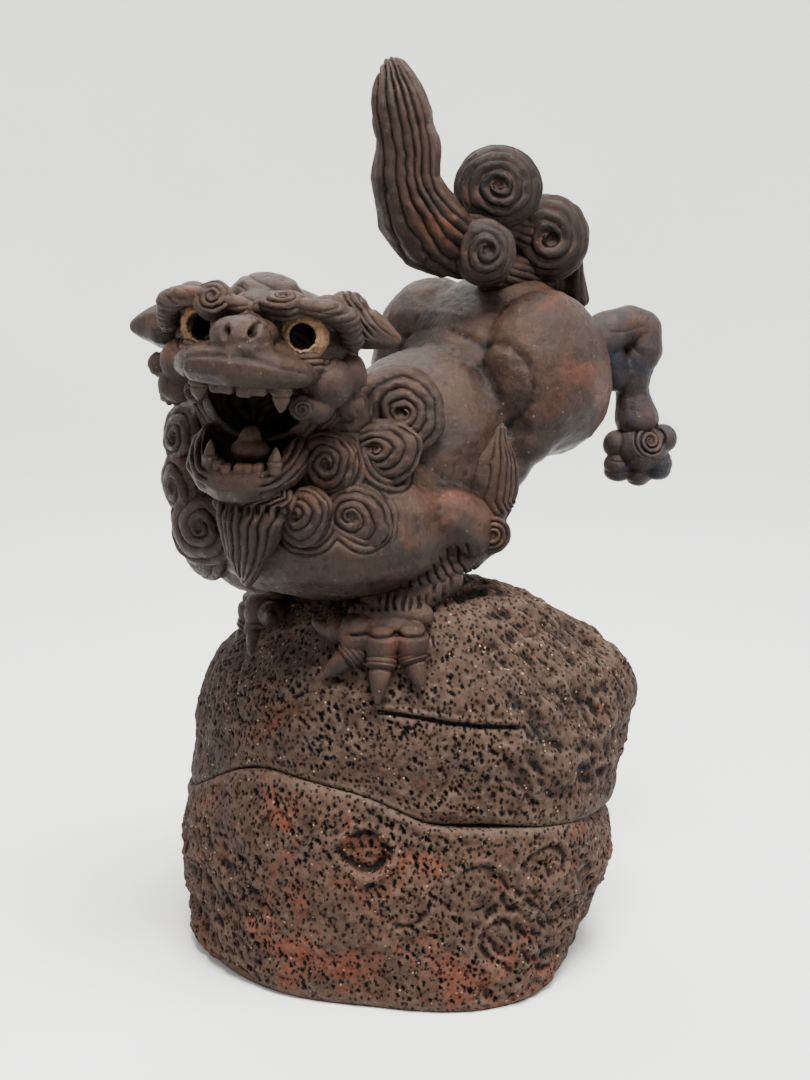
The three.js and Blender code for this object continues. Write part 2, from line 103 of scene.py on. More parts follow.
def unit(vector):
    vector = np.asarray(vector, float)
    return vector / np.linalg.norm(vector)


def middle_of_box(points):
    return (points.min(axis=0) + points.max(axis=0)) / 2


# ---- meshes --------------------
def new_object(name, points, faces):
    mesh = bpy.data.meshes.new(name)
    mesh.from_pydata((np.asarray(points) * MM).tolist(), [], faces)
    obj = bpy.data.objects.new(name, mesh)
    bpy.context.scene.collection.objects.link(obj)
    return obj


def points_of(obj):
    flat = np.empty(len(obj.data.vertices) * 3, np.float32)
    obj.data.vertices.foreach_get("co", flat)
    return flat.reshape(-1, 3).astype(float) / MM


def normals_of(obj):
    flat = np.empty(len(obj.data.vertices) * 3, np.float32)
    obj.data.vertex_normals.foreach_get("vector", flat)
    return flat.reshape(-1, 3).astype(float)


def set_points(obj, points):
    obj.data.vertices.foreach_set("co", (points * MM).astype(np.float32).ravel())
    obj.data.update()


def apply_modifiers(obj):
    graph = bpy.context.evaluated_depsgraph_get()
    made = bpy.data.meshes.new_from_object(obj.evaluated_get(graph))
    obj.modifiers.clear()
    obj.data = made


def cad_mesh(*nodes):
    """The points (mm) and faces of CAD nodes, as one list."""
    points, faces, start = [], [], 0
    for node in nodes:
        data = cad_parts[node].data
        points.append(points_of(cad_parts[node]))
        faces += [[start + v for v in face.vertices] for face in data.polygons]
        start += len(data.vertices)
    return np.vstack(points), faces


def cad_points(*nodes):
    return cad_mesh(*nodes)[0]


def middle_of(node):
    low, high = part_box(node)
    return np.array((low + high) / 2) / MM


def set_attribute(obj, name, values):
    attribute = obj.data.attributes.new(name, "FLOAT", "POINT")
    attribute.data.foreach_set("value", np.asarray(values, np.float32))


def mark_creases(obj):
    """Stores how deep in a crease (+) or high on a ridge (-) each point is, in mm, for the material, which
    paints shade into creases and lightens ridges partly as a painted highlight.
    """
    rounds = 7
    edges = np.empty(len(obj.data.edges) * 2, np.int32)
    obj.data.edges.foreach_get("vertices", edges)
    a, b = edges.reshape(-1, 2).T
    points = points_of(obj)
    count = len(points)
    degree = np.bincount(np.concatenate([a, b]), minlength=count)[:, None]
    level = points
    for _ in range(rounds):
        sums = [np.bincount(a, level[b, k], count) + np.bincount(b, level[a, k], count) for k in range(3)]
        level = np.stack(sums, axis=1) / degree
    set_attribute(obj, "crease", ((level - points) * normals_of(obj)).sum(axis=1))


def lump(at, radii, axes=np.eye(3), squareness=1.0, count=20):
    """A rounded block as (points, faces): squareness 1 is an egg, and 0.5 is nearly a brick."""
    points, faces = [], []
    for i in range(count + 1):
        polar = math.pi * i / count
        for j in range(count):
            turn = 2 * math.pi * j / count
            spot = [math.sin(polar) * math.cos(turn), math.sin(polar) * math.sin(turn), math.cos(polar)]
            points.append([math.copysign(abs(v) ** squareness, v) for v in spot])
            if i < count:
                row, after = i * count, (j + 1) % count
                faces.append([row + j, row + count + j, row + count + after, row + after])
    return np.array(points) * radii @ np.asarray(axes) + at, faces


def limb(stations, spacing=1.2):
    """Lumps that make a rolled coil of clay through stations of (x, y, z, radius)."""
    lumps = []
    for start, end in zip(np.array(stations, float), np.array(stations[1:], float)):
        count = max(1, int(np.linalg.norm(end[:3] - start[:3]) / spacing))
        for k in range(count + 1):
            spot = start + (end - start) * k / count
            lumps.append(lump(spot[:3], [spot[3]] * 3, count=14))
    return lumps


def pressed(name, nodes, voxel, soften, extra=()):
    """One soft skin over CAD nodes and any extra lumps of clay. Softening shrinks a skin, so it is drawn out
    again to the size it had."""
    points, faces = cad_mesh(*nodes) if nodes else (np.empty((0, 3)), [])
    for more_points, more_faces in extra:
        faces = faces + [[len(points) + v for v in face] for face in more_faces]
        points = np.vstack([points, more_points])
    obj = new_object(name, points, faces)
    remesh = obj.modifiers.new("remesh", "REMESH")
    remesh.mode = "VOXEL"
    remesh.voxel_size = voxel * MM
    smooth = obj.modifiers.new("smooth", "SMOOTH")
    smooth.factor = 0.5
    smooth.iterations = soften
    subdivide = obj.modifiers.new("subdivide", "SUBSURF")
    subdivide.levels = subdivide.render_levels = 1
    apply_modifiers(obj)
    soft = points_of(obj)
    low, high = points.min(axis=0), points.max(axis=0)
    soft_low, soft_high = soft.min(axis=0), soft.max(axis=0)
    share = (soft - soft_low) / (soft_high - soft_low)
    set_points(obj, low + share * (high - low))
    return obj


def dress(obj, nodes, material, body="lid"):
    obj.data.materials.clear()
    obj.data.materials.append(material)
    obj.data.shade_smooth()
    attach(obj, body)
    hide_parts(*nodes)


def clay(nodes, voxel, soften, carve, material, name=None, swell=0.25, extra=(), shapes=None, move=None):
    """A piece in place of CAD nodes: their own form with `extra` lumps, or `shapes` alone. `move(points)`
    reshapes it, and `carve(points, normals)` gives how far each point then stands out, in mm."""
    source = [] if shapes else nodes
    obj = pressed((name or nodes[0]) + "_clay", source, voxel, soften, shapes or extra)
    if move:
        set_points(obj, move(points_of(obj)))
    points, normals = points_of(obj), normals_of(obj)
    points = points + normals * swell
    set_points(obj, points + normals * carve(points, normals)[:, None])
    mark_creases(obj)
    dress(obj, nodes, material)


def skin_of(rows):
    """Faces between rings of equal length, closed by a fan at each end: (points, faces)."""
    count = len(rows[0])
    rings = np.vstack(rows)
    j = np.arange(count)
    after = (j + 1) % count
    quads = [
        np.stack([i * count + j, i * count + after, (i + 1) * count + after, (i + 1) * count + j], axis=1)
        for i in range(len(rows) - 1)
    ]
    faces = np.vstack(quads).tolist()
    first, last = len(rings), len(rings) + 1
    end = (len(rows) - 1) * count
    faces += [[first, int(b), int(a)] for a, b in zip(j, after)]
    faces += [[last, int(end + a), int(end + b)] for a, b in zip(j, after)]
    return np.vstack([rings, rows[0].mean(axis=0), rows[-1].mean(axis=0)]), faces


# ---- how clay is worked --------------------
def ridges(phase, sharpness=0.6):
    """0 along a strand's crest and -1 in the groove beside it: one strand to each whole number of phase."""
    return np.abs(np.sin(np.pi * phase)) ** sharpness - 1


def handled(points, depth=1.0, seed=3):
    """The dents that fingers and a wooden tool leave in a smoothed skin."""
    soft = 0.45 * fractal(points, 16, seed) + 0.16 * fractal(points, 4.5, seed + 9)
    return depth * soft


def spiral(points, centre, axis, radius, pitch, depth, handed, reach=99.0):
    """A snail's groove pressed into a skin within `radius` of an axis, and within `reach` of its centre."""
    axis = unit(axis)
    east = unit(np.cross(axis, [0.11, 0.05, 1]))
    offset = points - centre
    x, y = offset @ east, offset @ np.cross(axis, east)
    away = np.hypot(x, y)
    phase = away / pitch + np.arctan2(y, x) / (2 * math.pi) * handed
    near = step(radius, 0.86 * radius, away) * step(reach, 0.8 * reach, np.abs(offset @ axis))
    eye = step(0.35 * pitch, 0.9 * pitch, away)
    return depth * near * (ridges(phase) * eye - 0.9 * (1 - eye))


def along_lock(points, tip):
    """For a lock of hair that tapers to `tip`: how far each point is from the tip, 0 to 1, its place across
    the lock, -1 to 1, and the lock's half-width there."""
    bins, fewest, taken_instead = 24, 12, 40
    rightwards = np.array([0.7, 0.7, 0.0])
    away = np.linalg.norm(points - tip, axis=1)
    slot = np.minimum((away / away.max() * bins).astype(int), bins - 1)
    middles, ways, widths = [], [], []
    for k in range(bins):
        ring = points[slot == k]
        if len(ring) < fewest:
            ring = points[np.argsort(np.abs(away - (k + 0.5) / bins * away.max()))[:taken_instead]]
        middle = ring.mean(axis=0)
        way = np.linalg.svd(ring - middle, full_matrices=False)[2][0]
        if way @ (ways[-1] if ways else rightwards) < 0:
            way = -way
        middles.append(middle)
        ways.append(way)
        widths.append(np.percentile(np.abs((ring - middle) @ way), 97))
    centres = (np.arange(bins) + 0.5) / bins
    place = away / away.max()

    def spread(table):
        table = np.array(table, float)
        padded = np.concatenate([table[:1], table, table[-1:]])
        soft = (padded[:-2] + 2 * padded[1:-1] + padded[2:]) / 4
        columns = soft.reshape(bins, -1).T
        return np.stack([np.interp(place, centres, column) for column in columns], axis=1)

    half = spread(widths)[:, 0]
    across = ((points - spread(middles)) * spread(ways)).sum(axis=1) / half
    return place, across, half


def combed(points, tip, strands, depth, wander, seed=5, smooth_from=9.0):
    """Grooves that run along a lock of hair and meet at its tip, in strands of uneven width. The lock is left
    plain beyond `smooth_from` of the way across."""
    place, across, half = along_lock(points, tip)
    phase = (across + 1) / 2 * strands + 0.45 * np.sin(2.3 * across + seed)
    phase += wander * noise(points * [1, 1, 0.5], 9, seed) + 0.12 * noise(points, 3, seed + 1)
    fade = step(0.3, 3.5, half) * (1 - 0.8 * step(smooth_from, smooth_from + 0.25, across))
    uneven = 0.75 + 0.35 * noise(points * [1, 1, 0.3], 7, seed + 2)
    fine, coarse = ridges(phase), ridges(phase / 2)
    few = step(7, 3, half)
    return depth * fade * uneven * (fine * (1 - few) + coarse * few)


# ---- materials --------------------
class Shader:
    """A material being wired up: each method adds a node and returns the socket that it makes."""

    def __init__(self, name):
        self.material = bpy.data.materials.new(name)
        self.material.use_nodes = True
        self.tree = self.material.node_tree
        self.surface = self.tree.nodes["Principled BSDF"]
        self.place = self.node("ShaderNodeTexCoord").outputs["Object"]

    def node(self, kind, inputs=None, **settings):
        made = self.tree.nodes.new(kind)
        for key, value in settings.items():
            setattr(made, key, value)
        for key, value in (inputs or {}).items():
            self.feed(made.inputs[key], value)
        return made

    def feed(self, socket, value):
        if isinstance(value, bpy.types.NodeSocket):
            self.tree.links.new(value, socket)
        else:
            socket.default_value = value

    def stretched(self, scale):
        return self.node("ShaderNodeMapping", {"Vector": self.place, "Scale": scale}).outputs["Vector"]

    def noise(self, size, detail=4.0, roughness=0.55, place=None, warp=0.0):
        inputs = {
            "Vector": place or self.place,
            "Scale": 1 / (size * MM),
            "Detail": detail,
            "Roughness": roughness,
            "Distortion": warp,
        }
        return self.node("ShaderNodeTexNoise", inputs).outputs["Fac"]

    def cells(self, size, place=None):
        inputs = {"Vector": place or self.place, "Scale": 1 / (size * MM), "Randomness": 1.0}
        return self.node("ShaderNodeTexVoronoi", inputs).outputs["Distance"]

    def attribute(self, name):
        return self.node("ShaderNodeAttribute", attribute_name=name).outputs["Fac"]

    def upward(self):
        """How far the surface faces up, from -1 to 1."""
        normal = self.node("ShaderNodeNewGeometry").outputs["Normal"]
        return self.node("ShaderNodeSeparateXYZ", {"Vector": normal}).outputs["Z"]

    def ranged(self, value, low, high, out_low=0.0, out_high=1.0):
        inputs = {"Value": value, "From Min": low, "From Max": high, "To Min": out_low, "To Max": out_high}
        return self.node("ShaderNodeMapRange", inputs, clamp=True).outputs["Result"]

    def math(self, operation, a, b):
        return self.node("ShaderNodeMath", {0: a, 1: b}, operation=operation).outputs["Value"]

    def mix(self, share, a, b, blend="MIX"):
        made = self.node("ShaderNodeMix", data_type="RGBA", blend_type=blend)
        self.feed(made.inputs["Factor"], share)
        self.feed(made.inputs[6], a)
        self.feed(made.inputs[7], b)
        return made.outputs[2]

    def grey(self, value):
        made = self.node("ShaderNodeCombineColor", {"Red": value, "Green": value, "Blue": value})
        return made.outputs["Color"]

    def bump(self, height, strength, distance, under=None):
        inputs = {"Height": height, "Strength": strength, "Distance": distance * MM}
        if under is not None:
            inputs["Normal"] = under
        return self.node("ShaderNodeBump", inputs).outputs["Normal"]

    def set(self, **inputs):
        for key, value in inputs.items():
            self.feed(self.surface.inputs[key.replace("_", " ")], value)
        return self.material


def colour(red, green, blue):
    return (red, green, blue, 1.0)


BROWN = colour(0.0235, 0.0123, 0.0077)
UMBER = colour(0.0124, 0.0070, 0.0050)
RUST = colour(0.040, 0.0138, 0.0078)
# Pale ashen colour laid on ridges: partly real wear and partly a painted highlight.
ASH_AND_HIGHLIGHT = colour(0.070, 0.052, 0.041)
SAND = colour(0.20, 0.13, 0.08)
FLASH = colour(0.0055, 0.0062, 0.0100)


def fired_clay(name, brown=BROWN, dark=UMBER, red=RUST, red_from=0.56, gloss=0.31, specks=0.06,
               grain=1.0, ash_and_highlight=0.36):
    """Unglazed reduction-fired stoneware: brown and umber clouds, iron-red blushes, creases painted black as
    shade, ridges lightened partly by ashen wear and partly as a painted highlight, a few pale grains of sand,
    and undersides painted darker as shade."""
    s = Shader(name)
    clouds = s.ranged(s.noise(17, 5, 0.6, warp=0.6), 0.36, 0.64)
    blush = s.ranged(s.noise(31, 4, 0.55, warp=0.9), red_from, red_from + 0.16)
    base = s.mix(clouds, dark, brown)
    base = s.mix(blush, base, red)
    fine = s.ranged(s.noise(0.9, 7, 0.8), 0.32, 0.68, 0.4, 1.65)
    base = s.mix(1.0, base, s.grey(fine), "MULTIPLY")
    crease = s.attribute("crease")
    # Ridges are lightened towards the pale ashen colour: partly real wear, partly a painted highlight.
    ridge = s.ranged(crease, -0.04, -0.24)
    worn = s.math("MULTIPLY", ridge, s.ranged(s.noise(2.4, 5, 0.7), 0.42, 0.62, 0.0, ash_and_highlight))
    base = s.mix(worn, base, ASH_AND_HIGHLIGHT)
    # Painted shade: surfaces facing down are darkened, and creases are painted nearly black where shade
    # falls.
    painted_underside_shade = s.ranged(s.upward(), -0.55, 0.35, 0.5, 1.0)
    shade = s.math("MULTIPLY", s.ranged(crease, 0.01, 0.15, 1.0, 0.08), painted_underside_shade)
    base = s.mix(1.0, base, s.grey(shade), "MULTIPLY")
    sand = s.math("MULTIPLY", s.ranged(s.cells(2.6), 0.12, 0.09), s.ranged(s.noise(7, 2), 0.56, 0.6))
    base = s.mix(s.math("MULTIPLY", sand, specks * 10), base, SAND)
    rough = s.ranged(s.noise(6, 5, 0.65), 0.3, 0.7, gloss - 0.12, gloss + 0.2)
    drag = s.noise(2.2, 4, 0.6, place=s.stretched((1.0, 1.0, 0.35)))
    normal = s.bump(s.noise(0.8, 6, 0.8), 0.95 * grain, 0.42)
    normal = s.bump(drag, 0.7 * grain, 0.5, normal)
    return s.set(Base_Color=base, Roughness=rough, Normal=normal, Specular_IOR_Level=0.13)


def pricked_clay(name, brown, dark, red, red_from):
    """The rock: coarse clay pricked all over, with pores and creases painted black as shade, ridges lightened
    partly by ashen wear and partly as a painted highlight, iron-red blushes and grains of sand.
    """
    s = Shader(name)
    clouds = s.ranged(s.noise(14, 6, 0.65, warp=0.8), 0.36, 0.64)
    blush = s.ranged(s.noise(26, 5, 0.6, warp=1.0), red_from, red_from + 0.14)
    base = s.mix(clouds, dark, brown)
    base = s.mix(blush, base, red)
    fine = s.ranged(s.noise(1.3, 6, 0.75), 0.3, 0.7, 0.55, 1.5)
    base = s.mix(1.0, base, s.grey(fine), "MULTIPLY")
    crease = s.attribute("crease")
    # Ridges are lightened towards the pale ashen colour: partly real wear, partly a painted highlight.
    ridge = s.ranged(crease, -0.02, -0.3)
    worn = s.math("MULTIPLY", ridge, s.ranged(s.noise(3, 5, 0.7), 0.4, 0.62, 0.1, 0.6))
    base = s.mix(worn, base, ASH_AND_HIGHLIGHT)
    # Painted shade: the pits, the open pore holes and the creases are darkened where shade falls; the pits
    # also bump the surface.
    pits = s.cells(1.7, place=s.stretched((1.0, 1.0, 0.7)))
    small = s.ranged(pits, 0.22, 0.38, 0.14, 1.0)
    open_hole = s.ranged(s.attribute("pore"), 0.25, 0.8, 1.0, 0.05)
    shade = s.math("MULTIPLY", s.ranged(crease, 0.03, 0.32, 1.0, 0.14), s.math("MINIMUM", small, open_hole))
    base = s.mix(1.0, base, s.grey(shade), "MULTIPLY")
    sand = s.math("MULTIPLY", s.ranged(s.cells(3.1), 0.15, 0.11), s.ranged(s.noise(5, 2), 0.5, 0.54))
    base = s.mix(s.math("MULTIPLY", sand, 0.85), base, SAND)
    rough = s.ranged(s.noise(4, 5, 0.65), 0.3, 0.7, 0.55, 0.9)
    normal = s.bump(s.noise(0.9, 6, 0.78), 0.9, 0.42)
    normal = s.bump(small, 0.95, 0.6, normal)
    return s.set(Base_Color=base, Roughness=rough, Normal=normal, Specular_IOR_Level=0.10)


SKIN = fired_clay("lion_skin", ash_and_highlight=0.12)
HAIR = fired_clay("lion_hair", gloss=0.33, specks=0.03)
WARM = fired_clay("warm_clay", brown=colour(0.030, 0.0165, 0.0112), red_from=0.52, gloss=0.48)
TOOTH = fired_clay("tooth_clay", brown=colour(0.046, 0.028, 0.0185), dark=colour(0.024, 0.015, 0.0105),
                   gloss=0.40)
SMOKED = fired_clay("smoked_clay", brown=BROWN, dark=FLASH, red_from=0.62, gloss=0.36)
EYE = fired_clay("eye_clay", brown=colour(0.21, 0.125, 0.066), dark=colour(0.10, 0.056, 0.030),
                 red=colour(0.18, 0.088, 0.040), gloss=0.72, specks=0.2, grain=1.8)
LID_ROCK = pricked_clay("lid_rock", colour(0.038, 0.0215, 0.0142), colour(0.019, 0.0113, 0.0081), RUST, 0.57)
BASE_ROCK = pricked_clay("base_rock", colour(0.049, 0.0255, 0.0165), colour(0.024, 0.0138, 0.0098),
                         colour(0.070, 0.0215, 0.0113), 0.52)


# ---- the rock --------------------
COLUMNS = 760
TURNS = np.arange(COLUMNS) / COLUMNS * 2 * math.pi
ROCK_WALL = 9.0
ROCK_RADIUS = 74.0
SKIN_DEPTH = 0.8  # how far the rock's rough skin stands off the CAD's
FAR = 300.0  # well outside the statue, where rays start
BELOW_CUT, ABOVE_CUT = 40.0, 92.0  # levels that the cut between base and lid keeps between
FLUE_AT, FLUE_RADIUS = np.array([2.0, -24.0]), 19.0
# How far the worn joint strays from the CAD's cut: compass direction in degrees, and height in mm
SEAM_STRAYS = np.array([
    (-180, 0), (-75, 0), (-56, 1.0), (-47, -1.5), (-38, -4.8), (-27, -3.2), (-13, 0.0), (5, 2.4), (22, 5.5),
    (42, 3.0), (65, 0), (180, 0),
])
WAYS = np.stack([np.cos(TURNS), np.sin(TURNS), np.zeros(COLUMNS)], axis=1)
LID_CENTRE = np.array([0.0, 0.0, 75.0])  # every part of the lid can be seen from here


def caster(node):
    points, faces = cad_mesh(node)
    tree = BVHTree.FromPolygons((points * MM).tolist(), faces)

    def cast(start, way):
        hit = tree.ray_cast(Vector(np.asarray(start, float) * MM), Vector(way))[0]
        return None if hit is None else np.array(hit) / MM

    return cast


def blurred(table, rows_reach, turns_reach):
    """A table of rows by turns with its facets rounded off. It closes on itself the long way."""
    def gauss(reach):
        x = np.arange(-3 * reach, 3 * reach + 1)
        w = np.exp(-0.5 * (x / max(reach, 1e-6)) ** 2)
        return x, w / w.sum()

    x, w = gauss(turns_reach)
    out = sum(share * np.roll(table, shift, axis=1) for shift, share in zip(x, w))
    x, w = gauss(rows_reach)
    index = np.arange(len(table))
    return sum(share * out[np.clip(index + shift, 0, len(table) - 1)] for shift, share in zip(x, w))


def stretched_table(table, rows, columns):
    """A small table drawn out to more rows and columns."""
    low = np.linspace(0, len(table) - 1, rows)
    i = np.minimum(low.astype(int), len(table) - 2)
    part = (low - i)[:, None]
    tall = table[i] * (1 - part) + table[i + 1] * part
    count = table.shape[1]
    turn = np.arange(columns) / columns * count
    j = turn.astype(int)
    part = turn - j
    return tall[:, j] * (1 - part) + tall[:, (j + 1) % count] * part


def filled(table):
    """The gaps that rays leave (nan) bridged down each column."""
    rows = np.arange(len(table))
    for column in table.T:
        found = np.isfinite(column)
        column[~found] = np.interp(rows[~found], rows[found], column[found])
    return table


COARSE = 180  # directions that rays are cast in, which COLUMNS is then drawn out from
COARSE_TURNS = np.arange(COARSE) / COARSE * 2 * math.pi


def compass(turn):
    return np.array([math.cos(turn), math.sin(turn), 0.0])


def rim_heights(cast, level, upwards):
    """Height of the cut all round, found by looking along Z at the middle of the wall, whose place comes from
    the rock's outside at `level`."""
    found = []
    for turn in COARSE_TURNS:
        way = compass(turn)
        side = cast(way * FAR + [0, 0, level], -way)
        inside = way * (np.linalg.norm(side[:2]) - ROCK_WALL / 2)
        start, look = ([0, 0, -FAR], (0, 0, 1)) if upwards else ([0, 0, FAR], (0, 0, -1))
        found.append(cast(inside + start, look)[2])
    degrees = (np.degrees(COARSE_TURNS) + 180) % 360 - 180
    strays = np.interp(degrees, SEAM_STRAYS[:, 0], SEAM_STRAYS[:, 1])
    return blurred(np.array([found]) + strays, 0, 2)


def pores(points, share):
    """How open the pricked holes are at each point, 0 to 1: they slant and crowd together in patches."""
    sheared = points + np.outer(points[:, 2], [0.28, 0.28, 0.0])
    slanted = sheared * [1.0, 1.0, 0.62]
    crowd = step(-0.3, 0.35, fractal(points, 22, 61))
    size = 0.78 + 0.42 * noise(points, 3.4, 63)
    wide = step(size, 0.4 * size, to_nearest_seed(slanted, 2.5, 31))
    extra = step(0.8 * size, 0.35 * size, to_nearest_seed(slanted, 1.9, 47)) * crowd
    return np.maximum(wide, extra) * share


def rock_surface(points, torn):
    """How far the rock stands out: lumps, thumbed hollows, and ridges where the clay was torn."""
    lumps = 2.0 * fractal(points, 36, 11) + 1.3 * fractal(points, 11, 17) + 0.5 * fractal(points, 2.6, 23)
    slashed = points + np.outer(points[:, 2], [0.5, 0.5, 0.0])
    crags = 1 - 2 * np.abs(noise(slashed * [1, 1, 0.5], 9, 29))
    crags += 0.6 * (1 - 2 * np.abs(noise(slashed * [1, 1, 0.7], 4, 41)))
    return lumps + torn * (1.7 * crags - 0.4) + 0.25 * (1 - torn) * crags


def turn_of(points):
    """Compass direction of each point, in degrees from +X."""
    return np.degrees(np.arctan2(points[:, 1], points[:, 0]))


def facing(points, degrees, width):
    """1 towards a compass direction and 0 beyond `width` degrees of it."""
    off = np.abs((turn_of(points) - degrees + 180) % 360 - 180)
    return step(width, 0.4 * width, off)


def on_side(points, degrees, height):
    """Place on the rock's side, in mm: round from a compass direction, and up from a height."""
    off = (turn_of(points) - degrees + 180) % 360 - 180
    return np.radians(off) * ROCK_RADIUS, points[:, 2] - height


def crater(points, degrees, height, radius, depth):
    """A thumbed hollow with a torn lip and lumps in it."""
    x, y = on_side(points, degrees, height)
    away = np.hypot(x, 1.15 * y) / radius * (1 + 0.35 * fractal(points, 9, 71))
    lip = bell(away - 1.1, 0.16) * (0.6 + 0.6 * noise(points, 10, 72))
    inside = step(1.05, 0.75, away)
    return -depth * inside + 0.55 * depth * lip + 0.7 * depth * inside * fractal(points, 6, 73)


def thumb_arc(points, degrees, height, radius, depth, opens):
    """The crescent that the end of a thumb leaves; `opens` is the direction of its open side, in degrees."""
    x, y = on_side(points, degrees, height)
    away = np.hypot(x, y) + 1.6 * noise(points, 8, 74)
    turned = (np.degrees(np.arctan2(y, x)) - opens + 180) % 360 - 180
    arc = step(50, 95, np.abs(turned))
    cut = bell(away - radius, 1.3) * (0.7 + 0.5 * noise(points, 6, 75))
    burr = bell(away - radius - 2.4, 1.4)
    return depth * arc * (0.7 * burr - cut) - 0.35 * depth * step(radius, 0.5 * radius, away)


def furrow(points, start, end, depth):
    """A cut round the rock's side between two places (degrees, height), with a burr along its upper edge."""
    t = (turn_of(points) - start[0]) / (end[0] - start[0])
    level = start[1] + (end[1] - start[1]) * t + 0.35 * noise(points, 9, 83)
    inside = step(-0.03, 0.03, t) * step(1.03, 0.97, t)
    over = points[:, 2] - level
    return inside * depth * (0.55 * bell(over - 1.9, 0.9) - bell(over, 0.75))


def finish_rock(obj, start, outer, carve, body, node, material):
    """Presses the relief and the pores into a rock's outside, whose points begin at `start`."""
    points, normals = points_of(obj), normals_of(obj)
    share = np.zeros(len(points))
    share[start:start + len(outer)] = outer
    relief, pore_share = carve(points)
    hole = pores(points, share * pore_share)
    set_points(obj, points + normals * (relief * share - 1.4 * hole)[:, None])
    mark_creases(obj)
    # The material darkens the open holes as painted shade.
    set_attribute(obj, "pore", hole)
    dress(obj, [node], material, body)


def swelling(turns, swellings):
    """Extra radius round the rock, from swellings given as (degrees, width, mm)."""
    extra = np.zeros(len(turns))
    for degrees, width, amount in swellings:
        off = np.abs((np.degrees(turns) - degrees + 180) % 360 - 180)
        extra += amount * step(width, 0, off)
    return extra


WAIST = swelling(TURNS, [(50, 42, -2.8)])  # the rock draws in round the joint on one side


def rock_base():
    cast = caster("rock_base")
    rim = rim_heights(cast, BELOW_CUT, False)
    rows = 20
    shares = (np.arange(rows) + 0.5) / rows

    def radius_at(turn, z):
        return np.linalg.norm(cast(compass(turn) * FAR + [0, 0, z], -compass(turn))[:2])

    def level_at(share, k):
        """A height on the outside that is clear of the foot's edge and of the rim's."""
        return share * min(rim[0, k], 80) * 0.96 + 0.3

    radii = np.array([[radius_at(turn, level_at(share, k)) for k, turn in enumerate(COARSE_TURNS)]
                      for share in shares])
    tall = 98
    radii = stretched_table(blurred(radii, 1, 3), tall, COLUMNS) + SKIN_DEPTH
    rims = stretched_table(np.vstack([rim, rim]), 2, COLUMNS)[0]
    foot_swell = swelling(TURNS, [(-28, 36, 4.5), (18, 30, -4.0), (-125, 45, 1.8)])
    up = np.array([0, 0, 1.0])
    outside, weights = [], []
    for i in range(tall):
        share = i / (tall - 1)
        edge = 2.2 * (1 - min(1, share * 16)) ** 2 + 0.8 * max(0, share * 40 - 39) ** 2
        reach = radii[i] - edge + foot_swell * step(0.7, 0.0, share) + WAIST * step(0.2, 0.7, share)
        outside.append(WAYS * reach[:, None] + (rims * share)[:, None] * up)
        weights.append(np.full(COLUMNS, min(1, share * 12) * min(1, (1 - share) * 14 + 0.12)))
    inner = radii[tall // 2] - ROCK_WALL
    floor_z = 10.0
    inside = [WAYS * (radii[-1] - ROCK_WALL * w - 1)[:, None] + rims[:, None] * up for w in (0.3, 0.7)]
    for share in (0.97, 0.75, 0.5, 0.25, 0.06):
        inside.append(WAYS * inner[:, None] + (floor_z + (rims - floor_z) * share)[:, None] * up)
    inside += [WAYS * (inner * w)[:, None] + floor_z * up for w in (0.97, 0.8, 0.5, 0.2)]
    under = [WAYS * ((radii[0] + foot_swell - 2.2) * w)[:, None] for w in (0.25, 0.6, 0.9)]
    points, faces = skin_of([*under, *outside, *inside])
    obj = new_object("rock_base_clay", points, faces)

    def carve(p):
        torn = np.maximum(facing(p, 5, 40), facing(p, -112, 32)) * step(66, 40, p[:, 2])
        relief = rock_surface(p, torn)
        relief += crater(p, -57, 61, 9.5, 3.2)
        relief += thumb_arc(p, -24, 46, 9.5, 1.2, 215) + thumb_arc(p, -45, 41, 6.5, 0.9, 150)
        relief += thumb_arc(p, -5, 53, 7, 1.2, 250) + thumb_arc(p, -84, 66, 6, 0.8, -90)
        relief += thumb_arc(p, -17, 26, 8, 0.9, 330)
        plain = facing(p, -62, 22) * step(60, 40, p[:, 2]) * 0.4
        return relief, 1 - plain

    start = len(under) * COLUMNS
    finish_rock(obj, start, np.concatenate(weights), carve, "bowl", "rock_base", BASE_ROCK)


